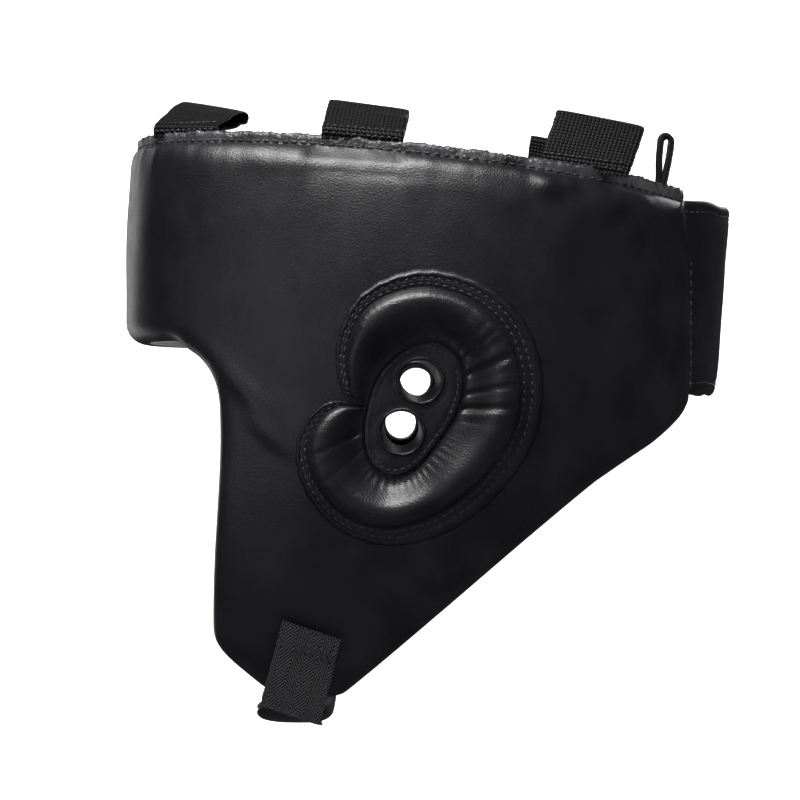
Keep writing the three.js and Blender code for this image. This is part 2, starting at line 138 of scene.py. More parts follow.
def run_at(x, z):
    """How far round from the forehead the outside of a side reaches x. Always positive."""
    level_x = MIDDLE_X + (np.asarray(x, float) - MIDDLE_X) * HALF_LENGTH / half_length(np.asarray(z, float))
    return np.interp(level_x, plan_x[RIGHT], RUNS[RIGHT])


print("ear level run:", round(float(run_at(5.0, 0.0)), 1), "mm")

# %% [markdown]
# ## Meshes from numbers
# Every piece ends as a mesh made from a list of points and a list of faces. One helper makes the
# object, smooths its shading, gives it a finish and says which body it moves with. Laying a grid
# of points into quads is common to most pieces, so that has a helper as well.

# %% Make mesh objects
def make_piece(name, points, faces, material, body, uv=None):
    mesh = bpy.data.meshes.new(name)
    mesh.from_pydata((np.asarray(points).reshape(-1, 3) * MM).tolist(), [], faces)
    mesh.update()
    mesh.shade_smooth()
    if uv is not None:
        layer = mesh.uv_layers.new(name="pattern")
        corner_points = np.zeros(len(mesh.loops), int)
        mesh.loops.foreach_get("vertex_index", corner_points)
        layer.data.foreach_set("uv", np.asarray(uv, float).reshape(-1, 2)[corner_points].ravel())
    mesh.materials.append(material)
    piece = bpy.data.objects.new(name, mesh)
    bpy.context.scene.collection.objects.link(piece)
    if body:
        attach(piece, body)
    return piece


def grid_faces(rows, columns, close_rows=False, close_columns=False):
    """Quads over a grid of points that is stored row by row."""
    faces = []
    for row in range(rows if close_rows else rows - 1):
        for column in range(columns if close_columns else columns - 1):
            right, down = (column + 1) % columns, (row + 1) % rows
            faces.append((row * columns + column, row * columns + right,
                          down * columns + right, down * columns + column))
    return faces


def unit(vectors):
    return vectors / np.maximum(np.linalg.norm(vectors, axis=-1, keepdims=True), 1e-9)


# %% [markdown]
# ## Synthetic leather
# The cover is a satin synthetic leather with a very fine grain. Its look comes from three things:
# a dark base that is hardly blue, a roughness that wanders a little, and a bump built in two
# sizes, the pebbled grain and the slow unevenness of leather over foam. A rubbed variant has a
# coarser crinkle for cut edges and seam allowances.

# %% Mix the leather
def node_setter(material):
    tree = material.node_tree

    def add(kind, **inputs):
        node = tree.nodes.new(kind)
        for name, value in inputs.items():
            node.inputs[name.replace("_", " ")].default_value = value
        return node

    return add, tree.links.new


def noise_bump(add, link, coordinates, scale, strength, distance, below=None, detail=3.0):
    """A bump from noise, stacked on the bump below it. Returns the bump node."""
    noise = add("ShaderNodeTexNoise", Scale=scale, Detail=detail)
    bump = add("ShaderNodeBump", Strength=strength, Distance=distance)
    link(coordinates, noise.inputs["Vector"])
    link(noise.outputs["Fac"], bump.inputs["Height"])
    if below is not None:
        link(below.outputs["Normal"], bump.inputs["Normal"])
    return bump


def leather(name, dark, light, smooth, rough, crinkle=0.0):
    material = bpy.data.materials.new(name)
    material.use_nodes = True
    add, link = node_setter(material)
    shader = material.node_tree.nodes["Principled BSDF"]
    shader.inputs["Specular IOR Level"].default_value = 0.5
    place = add("ShaderNodeTexCoord").outputs["Object"]

    mottle = add("ShaderNodeTexNoise", Scale=55.0, Detail=5.0)
    link(place, mottle.inputs["Vector"])
    tint = add("ShaderNodeValToRGB")
    tint.color_ramp.elements[0].position = 0.35
    tint.color_ramp.elements[0].color = (*dark, 1)
    tint.color_ramp.elements[1].position = 0.7
    tint.color_ramp.elements[1].color = (*light, 1)
    link(mottle.outputs["Fac"], tint.inputs["Fac"])
    link(tint.outputs["Color"], shader.inputs["Base Color"])

    roughness = add("ShaderNodeMapRange", To_Min=smooth, To_Max=rough)
    wander = add("ShaderNodeTexNoise", Scale=160.0, Detail=4.0)
    link(place, wander.inputs["Vector"])
    link(wander.outputs["Fac"], roughness.inputs["Value"])
    link(roughness.outputs["Result"], shader.inputs["Roughness"])

    slow = noise_bump(add, link, place, 30.0, 0.25, 0.0012)
    if crinkle:
        slow = noise_bump(add, link, place, 420.0, crinkle, 0.0009, below=slow, detail=5.0)
    pebbles = add("ShaderNodeTexVoronoi", Scale=1500.0)
    link(place, pebbles.inputs["Vector"])
    grain = add("ShaderNodeBump", Strength=0.42, Distance=0.0002)
    link(pebbles.outputs["Distance"], grain.inputs["Height"])
    link(slow.outputs["Normal"], grain.inputs["Normal"])
    link(grain.outputs["Normal"], shader.inputs["Normal"])
    return material


cover_leather = leather("satin_leather", (0.0016, 0.0016, 0.0024), (0.0034, 0.0034, 0.0046), 0.35, 0.47)
edge_leather = leather(
    "rubbed_leather", (0.003, 0.003, 0.0038), (0.045, 0.045, 0.049), 0.24, 0.46, crinkle=1.0)
print("leathers:", cover_leather.name, edge_leather.name)

# %% [markdown]
# ## Cloth, webbing, thread and tape
# The lining is a brushed knit: matt, with sheen at grazing angles. Webbing is woven from thick
# yarns, so its pattern is laid in the strip's own coordinates, which run in millimetres across
# and along the strip. Two wave textures that cross make the yarns, and the same waves drive the
# bump and darken the gaps.

# %% Mix the cloths
def lining_cloth():
    material = bpy.data.materials.new("lining_cloth")
    material.use_nodes = True
    add, link = node_setter(material)
    shader = material.node_tree.nodes["Principled BSDF"]
    shader.inputs["Sheen Weight"].default_value = 0.15
    shader.inputs["Sheen Roughness"].default_value = 0.5
    shader.inputs["Roughness"].default_value = 0.9
    place = add("ShaderNodeTexCoord").outputs["Object"]
    knit = add("ShaderNodeTexVoronoi", Scale=620.0)
    link(place, knit.inputs["Vector"])
    tint = add("ShaderNodeValToRGB")
    tint.color_ramp.elements[0].color = (0.013, 0.013, 0.016, 1)
    tint.color_ramp.elements[1].color = (0.006, 0.006, 0.0075, 1)
    link(knit.outputs["Distance"], tint.inputs["Fac"])
    link(tint.outputs["Color"], shader.inputs["Base Color"])
    soft = noise_bump(add, link, place, 60.0, 0.4, 0.0012)
    loops = add("ShaderNodeBump", Strength=0.6, Distance=0.0004)
    link(knit.outputs["Distance"], loops.inputs["Height"])
    link(soft.outputs["Normal"], loops.inputs["Normal"])
    link(loops.outputs["Normal"], shader.inputs["Normal"])
    return material


def zigzag(add, link, coordinates, width):
    """Shears strip coordinates along the strip, one way and then the other across it."""
    parts = add("ShaderNodeSeparateXYZ")
    link(coordinates, parts.inputs["Vector"])
    folded_back = add("ShaderNodeMath")
    folded_back.operation = "PINGPONG"
    folded_back.inputs[1].default_value = width
    link(parts.outputs["X"], folded_back.inputs[0])
    sheared = add("ShaderNodeMath")
    sheared.operation = "MULTIPLY_ADD"
    sheared.inputs[1].default_value = 1.5
    link(folded_back.outputs["Value"], sheared.inputs[0])
    link(parts.outputs["Y"], sheared.inputs[2])
    joined = add("ShaderNodeCombineXYZ")
    link(parts.outputs["X"], joined.inputs["X"])
    link(sheared.outputs["Value"], joined.inputs["Y"])
    return joined.outputs["Vector"]


def woven(name, across, along, gap, yarn, herringbone=0.0, strength=0.9):
    """A weave in strip coordinates. across and along are the yarns' pitches in millimetres.

    A herringbone turns the weave's slant back and forth at that distance across the strip."""
    material = bpy.data.materials.new(name)
    material.use_nodes = True
    add, link = node_setter(material)
    shader = material.node_tree.nodes["Principled BSDF"]
    strip = add("ShaderNodeUVMap")
    strip.uv_map = "pattern"
    laid = strip.outputs["UV"]
    if herringbone:
        laid = zigzag(add, link, laid, herringbone)
    ribs = []
    for pitch, direction in ((across, "X"), (along, "Y")):
        wave = add("ShaderNodeTexWave", Scale=1.0, Distortion=0.0)
        wave.bands_direction = direction
        wave.wave_profile = "SIN"
        if herringbone and direction == "X":
            wave.inputs["Phase Offset"].default_value = math.pi  # brightest down the middle of the strip
        sized = add("ShaderNodeMapping")
        sized.inputs["Scale"].default_value = (math.pi / 10 / pitch,) * 3
        link(laid, sized.inputs["Vector"])
        link(sized.outputs["Vector"], wave.inputs["Vector"])
        ribs.append(wave.outputs["Fac"])
    yarns = add("ShaderNodeMath")
    yarns.operation = "MULTIPLY"
    link(ribs[0], yarns.inputs[0])
    link(ribs[1], yarns.inputs[1])
    tint = add("ShaderNodeValToRGB")
    tint.color_ramp.elements[0].color = (*gap, 1)
    tint.color_ramp.elements[0].position = 0.08
    tint.color_ramp.elements[1].color = (*yarn, 1)
    tint.color_ramp.elements[1].position = 0.75
    link(yarns.outputs["Value"], tint.inputs["Fac"])
    link(tint.outputs["Color"], shader.inputs["Base Color"])
    shader.inputs["Roughness"].default_value = 0.55
    shader.inputs["Specular IOR Level"].default_value = 0.2
    fibres = noise_bump(add, link, strip.outputs["UV"], 6.0, 0.25, 0.0003)
    raised = add("ShaderNodeBump", Strength=strength, Distance=0.0013)
    link(yarns.outputs["Value"], raised.inputs["Height"])
    link(fibres.outputs["Normal"], raised.inputs["Normal"])
    link(raised.outputs["Normal"], shader.inputs["Normal"])
    return material


def plain_finish(name, colour, roughness, scale, strength):
    material = bpy.data.materials.new(name)
    material.use_nodes = True
    add, link = node_setter(material)
    shader = material.node_tree.nodes["Principled BSDF"]
    shader.inputs["Base Color"].default_value = (*colour, 1)
    shader.inputs["Roughness"].default_value = roughness
    place = add("ShaderNodeTexCoord").outputs["Object"]
    fuzz = noise_bump(add, link, place, scale, strength, 0.0004, detail=2.0)
    link(fuzz.outputs["Normal"], shader.inputs["Normal"])
    return material


lining = lining_cloth()
coarse_webbing = woven(
    "coarse_webbing", 1.5, 1.4, (0.0004, 0.0004, 0.0006), (0.006, 0.006, 0.007), strength=1.0)
fine_webbing = woven("fine_webbing", 1.1, 1.1, (0.0015, 0.0015, 0.002), (0.008, 0.008, 0.0095))
twill_webbing = woven(
    "twill_webbing", 90.0, 1.7, (0.0008, 0.0008, 0.001), (0.034, 0.034, 0.037), herringbone=4.8)
thread = plain_finish("thread", (0.012, 0.012, 0.014), 0.42, 2500.0, 0.6)
hook_tape = plain_finish("hook_tape", (0.010, 0.010, 0.012), 0.55, 1500.0, 1.0)
pile_tape = plain_finish("pile_tape", (0.008, 0.008, 0.0095), 1.0, 900.0, 1.0)
finishes = (lining, coarse_webbing, fine_webbing, twill_webbing, thread, hook_tape, pile_tape)
print("cloths and tapes:", len(finishes))

# %% [markdown]
# ## The pattern's outline
# Seen from the side, the guard runs along the lower edge of the forehead, round the corner of the
# face opening, down the cheek, round the chin and up a long slant to the back. Only one side is
# drawn, in forward distance and height, and the other is its mirror. The curves are the packed
# model's own, let out a little all along the lower edge, because an edge that rolls round looks
# smaller than the flat outline.

# %% Draw one side
OPENING_Z = 22.0
CHEEK_X = -66.0
REAR_X = 110.0


def bezier(a, b, c, d, count=24):
    t = np.linspace(0, 1, count + 1)[1:, None]
    a, b, c, d = (np.array(p, float) for p in (a, b, c, d))
    return (1 - t) ** 3 * a + 3 * (1 - t) ** 2 * t * b + 3 * (1 - t) * t**2 * c + t**3 * d


def top_z(x):
    return 92.0 - 0.1 * x - 0.0003 * x * x


opening = [(-86.0, OPENING_Z), (CHEEK_X, -4.0)]
lower = [
    bezier(opening[0], (-74, 20), (CHEEK_X, 10), opening[1]),
    bezier(opening[1], (CHEEK_X + 1, -30), (CHEEK_X - 3, -50), (CHEEK_X - 3.5, -85)),
    bezier((CHEEK_X - 3.5, -85), (CHEEK_X - 3.5, -94), (-66, -96.5), (-54, -106)),
    bezier((-54, -106), (-47, -112.5), (-34, -114), (-22, -110)),
    bezier((-22, -110), (4, -88), (38, -56), (72, -30)),
    bezier((72, -30), (96, -14), (REAR_X - 1, -10), (REAR_X - 1, 2.0)),
]
lower = np.vstack([[opening[0]], *lower])
rear_z = np.linspace(2.0, float(top_z(REAR_X)), 30)
rear = np.stack([np.linspace(REAR_X - 1, REAR_X, 30), rear_z], 1)


def even_steps(line, step):
    """The same line with its points evenly spaced."""
    gone = np.concatenate([[0.0], np.cumsum(np.linalg.norm(np.diff(line, axis=0), axis=1))])
    wanted = np.linspace(0, gone[-1], max(2, int(round(gone[-1] / step)) + 1))
    return np.stack([np.interp(wanted, gone, line[:, i]) for i in range(line.shape[1])], 1)


def reaching(line, turned_in):
    """The runs of a side line, moved on so that an edge turned in this deep still reaches it."""
    runs = run_at(*line.T)
    facing = bend(runs, line[:, 1], -1.0)[:, 0] - bend(runs, line[:, 1], 0.0)[:, 0]
    return np.stack([run_at(line[:, 0] + facing * turned_in, line[:, 1]), line[:, 1]], 1)


EDGE_ROLL = 1.8  # how far the lower edge is let out for its roll
tangent = unit(np.gradient(lower, axis=0))
from_front = np.clip((np.arange(len(lower)) - 1) / 4.0, 0, 1)
from_rear = np.clip((REAR_X - 1 - lower[:, 0]) / 16.0, 0, 1)
let_out = EDGE_ROLL * from_front * from_rear
lower = lower + let_out[:, None] * np.stack([tangent[:, 1], -tangent[:, 0]], 1)

STEP = 2.2
EDGE_REACH, REAR_REACH = 6.0, 8.0
lower_run = reaching(lower, EDGE_REACH)
near_rear = np.clip((lower[:, 0] - 90.0) / 18.0, 0, 1)[:, None]
lower_run = lower_run * (1 - near_rear) + reaching(lower, REAR_REACH) * near_rear
lower_run = even_steps(np.vstack([[0.0, OPENING_Z], lower_run]), STEP)
rear_run = even_steps(reaching(rear, REAR_REACH), STEP)
rear_top = rear_run[-1, 0]
top_runs = np.linspace(-rear_top, rear_top, int(2 * rear_top / STEP))
top_line = np.stack([top_runs, top_z(bend(top_runs, 90.0, 0.0)[:, 0])], 1)
print(f"the pattern is {2 * rear_top:.0f} mm long and {np.ptp(lower_run[:, 1]):.0f} mm deep")

# %% [markdown]
# The two mirrored halves, the top and the two rear edges join into one closed line. The triangles
# come from a constrained Delaunay triangulation, which fills any outline and takes points wherever
# they are wanted. Rings of points follow the edge closely, where the leather rolls over, and a
# plain lattice fills the middle.

# %% Close the outline and measure from it
MIRROR = np.array([-1.0, 1.0])
edges = {
    "turned": [lower_run * MIRROR, lower_run],
    "rear": [rear_run * MIRROR, rear_run],
    "top": [top_line],
}
outline = np.vstack([
    (lower_run * MIRROR)[:-1], (rear_run * MIRROR)[:-1], top_line[:-1],
    rear_run[::-1][:-1], lower_run[::-1][:-1],
])


def distance_to(points, lines):
    """The shortest distance from each point to any of the lines."""
    starts = np.vstack([line[:-1] for line in lines])
    spans = np.vstack([line[1:] - line[:-1] for line in lines])
    squares = np.maximum((spans**2).sum(1), 1e-12)
    found = []
    for part in np.array_split(points, max(1, len(points) // 2000)):
        away = part[:, None] - starts[None]
        t = np.clip((away * spans).sum(2) / squares, 0, 1)
        found.append(np.sqrt(((away - t[..., None] * spans) ** 2).sum(2)).min(1))
    return np.concatenate(found)


def inside(points, loop):
    x, y = points[:, :1], points[:, 1:]
    a, b = loop, np.roll(loop, -1, 0)
    crosses = (a[:, 1] > y) != (b[:, 1] > y)
    rise = np.where(b[:, 1] == a[:, 1], 1e-12, b[:, 1] - a[:, 1])
    at = a[:, 0] + (y - a[:, 1]) / rise * (b[:, 0] - a[:, 0])
    return (crosses & (x < at)).sum(1) % 2 == 1


edge_step = np.roll(outline, -1, 0) - np.roll(outline, 1, 0)
inward = unit(np.stack([edge_step[:, 1], -edge_step[:, 0]], 1))
closed_outline = np.vstack([outline, outline[:1]])
print("outline points:", len(outline))

# %% [markdown]
# Now the triangles. The ear holes are cut by keeping every point out of them and dropping the
# triangles that span them. A mesh modifier could cut them too, but then the points would not lie
# evenly round the rim, and the leather would crease there.

# %% Fill the pattern with points
EAR_HOLES = [(7.3, 7.0), (0.5, -11.7)]
HOLE_RADIUS = 8.2
RINGS = [0.5, 1.3, 2.5, 4.2, 6.4, 9.0]

rings = []
for offset in RINGS:
    ring = outline + inward * offset
    rings.append(ring[distance_to(ring, [closed_outline]) > offset * 0.97])

lattice_x, lattice_z = np.meshgrid(
    np.arange(-rear_top, rear_top, STEP), np.arange(-120.0, 110.0, STEP * 0.866)
)
lattice_x[1::2] += STEP / 2
lattice = np.stack([lattice_x.ravel(), lattice_z.ravel()], 1)
lattice = lattice[inside(lattice, outline)]
lattice = lattice[distance_to(lattice, [closed_outline]) > RINGS[-1] + STEP * 0.5]

holes = [np.array([side * float(run_at(x, z)), z]) for side in (-1, 1) for x, z in EAR_HOLES]
around = np.linspace(0, 2 * math.pi, 32, endpoint=False)
hole_loops = [hole + (HOLE_RADIUS + 1.0) * np.stack([np.cos(around), np.sin(around)], 1) for hole in holes]
for hole in holes:
    lattice = lattice[np.linalg.norm(lattice - hole, axis=1) > HOLE_RADIUS + 2.0]


def constrained_edges(loops):
    found, start = [], 0
    for loop in loops:
        found += [(start + i, start + (i + 1) % len(loop)) for i in range(len(loop))]
        start += len(loop)
    return found


loops = [outline, *hole_loops]
cloud = np.vstack([*loops, *rings, lattice])
filled = delaunay_2d_cdt([Vector(p) for p in cloud], constrained_edges(loops), [], 1, 1e-4)
pattern = np.array([tuple(p) for p in filled[0]])
triangles = np.array(filled[2])
centres = pattern[triangles].mean(1)
keep = inside(centres, outline)
for hole in holes:
    keep &= np.linalg.norm(centres - hole, axis=1) > HOLE_RADIUS + 0.9
triangles = triangles[keep]
origins = [source[0] if source else -1 for source in filled[3]]
print(len(pattern), "points and", len(triangles), "triangles")

# %% [markdown]
# ## How the leather lies over the foam
# The cover is pulled over the foam's edges and sewn to the lining. At a turned edge both roll
# round to a seam halfway through the wall. Along the top both are pinched into a standing seam,
# so the leather has a round shoulder, which the lace loops pull into a flat bevel. At the back
# the edge is pressed thin by a row of stitches. Each kind of edge gives a depth from its own
# distance, and the deepest of them wins.

# %% Roll the edges
def roll(distance, reach, drop, power=2.0):
    """From drop at the edge to nothing at reach, as a quarter of a rounded box."""
    left = 1 - np.clip(distance / reach, 0, 1)
    return drop * (1 - (1 - left**power) ** (1 / power))


away = {kind: distance_to(pattern, lines) for kind, lines in edges.items()}
height = pattern[:, 1]
side_x = bend(pattern[:, 0], height, 0.0)[:, 0]
BEVEL_FROM, BEVEL_TO, BEVEL = -35.0, 2.0, 6.6  # the flat pulled by the middle loop


def soft_step(value, middle, width):
    t = np.clip((value - middle) / width + 0.5, 0, 1)
    return t * t * (3 - 2 * t)




def rim_depth(x):
    """How deep in the wall the standing seam is: nearer the outside at the forehead."""
    return 7.4 - 3.4 * soft_step(-x, 88.0, 40.0)


pulled = soft_step(side_x, BEVEL_FROM, 4.0) * (1 - soft_step(side_x, BEVEL_TO, 4.0))
rng = np.random.default_rng(7)
uneven = sum(
    np.sin(pattern[:, 0] / length + rng.uniform(0, 6.28)) for length in (2.1, 3.7, 6.1, 9.5)
) / 4


def rear_press(from_rear_edge, drop):
    """The long slope down to the stitches at the back."""
    return roll(from_rear_edge, 17.0, drop, 1.9)


def wall_depth(seam, top_drop, rear_drop, rear_seam, shoulder):
    """How deep the leather lies under the wall's face, given where its edges end up."""
    depth = roll(away["turned"], 9.5, seam, 2.1)
    top = roll(away["top"], shoulder + 1.3 * uneven, top_drop)
    chamfer = 0.74 * top_drop * np.clip(1 - away["top"] / BEVEL, 0, 1)
    chamfer += 0.26 * top_drop * np.exp(-((away["top"] / 16.0) ** 2))
    top = top * (1 - pulled) + chamfer * pulled
    pressed = rear_press(away["rear"], rear_drop)
    edge = roll(away["rear"], 1.6, rear_seam - rear_drop, 2.0)
    return np.maximum(np.maximum(depth, top), pressed + edge)


REAR_SEAM, REAR_DROP = 5.2, 3.2  # the rear seam's depth, and the cover's where it is pressed flat
cover_depth = wall_depth(SEAM_DEPTH, rim_depth(side_x) - 1.0, REAR_DROP, REAR_SEAM, 9.5)
lining_drop = WALL - rim_depth(side_x) - 1.5
lining_depth = WALL - wall_depth(
    WALL - SEAM_DEPTH, lining_drop, WALL - REAR_SEAM - 2.4, WALL - REAR_SEAM, lining_drop - 1.6)
print(f"cover depth {cover_depth.min():.1f} to {cover_depth.max():.1f} mm")

# %% [markdown]
# ## Folds and puckers
# Soft leather over foam is never a perfect surface. It puckers along the top seam, folds run from
# the corner of the face opening towards the ear guard, more folds fan out under the ear guard
# where the slant pulls, and the foam shows as slow swells. Each fold is a long soft bump given by
# its middle, direction, length, width and height.

# %% Press in the folds
FOLDS = [
    # x, z, direction in degrees, half length, half width, height
    (-57.0, 3.0, -47.0, 26.0, 4.0, 1.3),
    (-63.0, 1.0, -50.0, 22.0, 3.6, -1.1),
    (-50.0, 9.0, -42.0, 20.0, 5.0, -0.7),
    (-54.0, -8.0, -42.0, 12.0, 3.0, 0.8),
    (-47.0, -14.0, -34.0, 14.0, 3.4, 0.8),
    (9.0, -66.0, -56.0, 10.0, 2.8, -1.6),
    (13.5, -64.0, -56.0, 10.0, 2.8, 1.0),
    (23.0, -60.0, -44.0, 10.0, 2.6, -1.4),
    (27.5, -58.0, -44.0, 10.0, 2.6, 0.9),
    (-8.0, -66.0, -80.0, 10.0, 4.0, -0.6),
    (44.0, -45.0, -30.0, 10.0, 3.5, -0.6),
    (54.5, 80.0, -30.0, 5.0, 4.0, 1.9),
    (66.0, 76.0, 10.0, 12.0, 4.0, -0.9),
    (94.0, 72.0, -40.0, 7.0, 4.5, 1.0),
    (84.0, 68.0, 35.0, 10.0, 4.0, -0.8),
    (-3.0, 83.5, -4.0, 30.0, 2.2, -0.7),
    (-40.0, 88.0, -4.0, 14.0, 3.0, 0.5),
    (40.0, 80.0, -12.0, 12.0, 3.5, -0.6),
    (100.0, 30.0, 88.0, 30.0, 3.0, -0.5),
]


def folded(x, z):
    total = np.zeros_like(x)
    for fold_x, fold_z, direction, half_len, half_wide, high in FOLDS:
        c, s = math.cos(math.radians(direction)), math.sin(math.radians(direction))
        along = (x - fold_x) * c + (z - fold_z) * s
        across = -(x - fold_x) * s + (z - fold_z) * c
        total += high * np.exp(-((along / half_len) ** 2) * 1.2 - (across / half_wide) ** 2)
    return total


def swell(run, z, lengths, seed):
    waves = np.random.default_rng(seed)
    total = np.zeros_like(run)
    for length in lengths:
        for _ in range(3):
            angle, phase = waves.uniform(0, math.pi), waves.uniform(0, 2 * math.pi)
            total += np.sin((run * math.cos(angle) + z * math.sin(angle)) * 2 * math.pi / length + phase)
    return total / (3 * len(lengths))


puckers = sum(
    np.sin(pattern[:, 0] * 2 * math.pi / length + rng.uniform(0, 6.28)) for length in (7.0, 11.0, 17.0)
) / 3
proud = folded(side_x, height) + 0.55 * swell(pattern[:, 0], height, (34.0, 61.0), 3)
proud += 0.55 * puckers * np.exp(-away["top"] / 6.0)
calm = np.clip(np.minimum(away["turned"], away["rear"]) / 8.0, 0, 1) * np.clip(away["top"] / 2.0, 0, 1)
print(f"folds stand {np.abs(proud * calm).max():.1f} mm from the foam's face")

# %% [markdown]
# The cover and the lining use the same triangles at two depths, one turned over so that both
# face out of the foam.

# %% Make the cover and the lining
seam_pull = np.zeros_like(pattern)
for index, source in enumerate(origins):
    if 0 <= source < len(outline):
        on_top = away["top"][index] < 0.01
        seam_pull[index] = inward[source] * (0.0 if on_top else 0.8)
sewn = pattern + seam_pull


def bent_sheet(name, depth, material, flip):
    faces = (triangles[:, ::-1] if flip else triangles).tolist()
    return make_piece(name, bend(sewn[:, 0], sewn[:, 1], depth), faces, material, "guard")


cover = bent_sheet("leather_cover", cover_depth - proud * calm, cover_leather, True)
inner_swell = 0.5 * swell(pattern[:, 0], height, (26.0, 47.0), 11) * calm
inner = bent_sheet("head_lining", lining_depth + inner_swell, lining, False)
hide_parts("outer_cover", "forehead_foam", "left_side_foam", "right_side_foam")
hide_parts("lining", "comfort_foam")
print("cover", len(cover.data.polygons), "faces")

# %% [markdown]
# ## Rows of stitches
# A stitch is a short length of thread that dives into the leather at both ends. Each row is one
# mesh: a spindle with tapered, sunken ends is laid at every step along a line, turned the way the
# line goes. Rows of thread catch the light as a dotted line, which shows where a piece is sewn.

# %% Sew a row
def stitch_row(name, line, out, body, pitch, length, thick, slant=0.0):
    """line is where the stitches go and out the way they stand proud, both one row per point."""
    line, out = np.asarray(line, float), np.asarray(out, float)
    joined = even_steps(np.hstack([line, out]), 0.4)
    line, out = joined[:, :3], unit(joined[:, 3:])
    gone = np.concatenate([[0.0], np.cumsum(np.linalg.norm(np.diff(line, axis=0), axis=1))])
    shape = [(-0.5, 0.15, -0.35), (-0.38, 0.8, 0.0), (0.0, 1.0, 0.28), (0.38, 0.8, 0.0), (0.5, 0.15, -0.35)]
    ring = np.linspace(0, 2 * math.pi, 6, endpoint=False)
    points, faces = [], []
    for middle in np.arange(pitch / 2, gone[-1] - pitch / 3, pitch):
        spot = np.array([np.interp(middle, gone, line[:, i]) for i in range(3)])
        ahead = np.array([np.interp(middle + 0.5, gone, line[:, i]) for i in range(3)])
        up = unit(np.array([np.interp(middle, gone, out[:, i]) for i in range(3)]))
        way = unit(ahead - spot)
        side = unit(np.cross(up, way))
        way = unit(way + side * slant)
        side = unit(np.cross(up, way))
        start = len(points)
        for along, fat, lift in shape:
            centre = spot + way * along * length + up * lift * thick
            points += [
                centre + (side * math.cos(a) + up * math.sin(a)) * thick / 2 * fat for a in ring
            ]
        faces += [tuple(start + i for i in f) for f in grid_faces(len(shape), len(ring), close_columns=True)]
        faces += [tuple(start + i for i in range(5, -1, -1)), tuple(start + 24 + i for i in range(6))]
    return make_piece(name, points, faces, thread, body)


def on_wall(run, z, depth=0.0):
    """Points on the bent pattern and the way out of the leather there."""
    here, above = bend(run, z, depth), bend(run, z, np.asarray(depth, float) - 1.0)
    return here, above - here


print("thread", thread.name)

# %% [markdown]
# ## The standing seam
# Along the top the cover's and the lining's raw edges stand up together, sewn through just above
# the shoulder. The strip is about four millimetres high and never straight: it leans in and out,
# and its cut edge rises and dips. A closed section swept along the top gives it body.

# %% Stand the seam up
seam_runs = np.linspace(-rear_top + 0.3, rear_top - 0.3, 520)
seam_x = bend(seam_runs, 90.0, 0.0)[:, 0]
seam_base = top_z(seam_x)


def wobble(values, lengths, seed):
    waves = np.random.default_rng(seed)
    return sum(np.sin(values * 2 * math.pi / l + waves.uniform(0, 6.28)) for l in lengths) / len(lengths)


lean = 0.8 * wobble(seam_runs, (4.6, 9.0, 15.0, 31.0), 21)
tall = 4.3 + 0.45 * wobble(seam_runs, (5.0, 12.0, 23.0), 22) + 0.3 * wobble(seam_runs, (1.9, 2.7), 23)
tall += 1.3 * soft_step(seam_x, 70.0, 60.0)
fat = 1.0 + 0.3 * wobble(seam_runs, (2.3, 4.0, 7.0), 24)
SECTION = [(-1.0, -2.6), (-1.15, -0.4), (-0.75, 0.25), (-1.1, 0.45), (-1.05, 0.75), (-0.85, 1.0),
           (-0.1, 0.93), (0.1, 0.95), (0.85, 1.0), (1.05, 0.75), (1.0, 0.3), (1.0, -2.6)]
seam_points = np.stack([
    bend(seam_runs, seam_base + (tall * up if up > 0 else up),
         rim_depth(seam_x) + across * fat - lean * max(up, 0))
    for across, up in SECTION
], 1)
seam_faces = grid_faces(len(seam_runs), len(SECTION), close_columns=True)
top_seam = make_piece("standing_seam", seam_points, seam_faces, edge_leather, "guard")
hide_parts("top_seam")
print("standing seam", len(top_seam.data.polygons), "faces")

# %% [markdown]
# One row of thread runs through the standing seam, and one down each rear edge, where it holds
# the leather pressed flat.

# %% Stitch the top and the rear edges
REAR_STITCH_IN = 4.0  # how far in from the rear edge the row runs
stitch_line, stitch_out = on_wall(seam_runs, seam_base + 0.8, rim_depth(seam_x) - 1.1)
stitch_row("top_stitches", stitch_line, stitch_out, "guard",
           pitch=3.6, length=2.6, thick=0.7)
rear_stitch_z = np.linspace(4.0, 76.0, 60)
rear_edge_x = np.interp(rear_stitch_z, rear[:, 1], rear[:, 0])
rear_edge_run = reaching(np.stack([rear_edge_x, rear_stitch_z], 1), REAR_REACH)[:, 0]
rear_stitch_depth = float(rear_press(np.array(REAR_STITCH_IN), REAR_DROP)) + 0.1
for side, label in ((-1, "left"), (1, "right")):
    line, out = on_wall(side * (rear_edge_run - REAR_STITCH_IN), rear_stitch_z, rear_stitch_depth)
    stitch_row(f"{label}_rear_stitches", line, out, "guard",
               pitch=3.9, length=2.9, thick=0.8)
print("rows stitched: 3")

# %% [markdown]
# ## The ear guards' lines
# Each ear guard is a puffed ring of leather round an oval plate. Its outline is kidney shaped,
# with a notch at the front where the ring's two ends meet. The ring is ruled between two closed
# lines, so every row below pairs a place on the outline with the place on the plate's edge that
# it faces. A smooth closed curve through the pairs gives as many rows as the mesh needs.

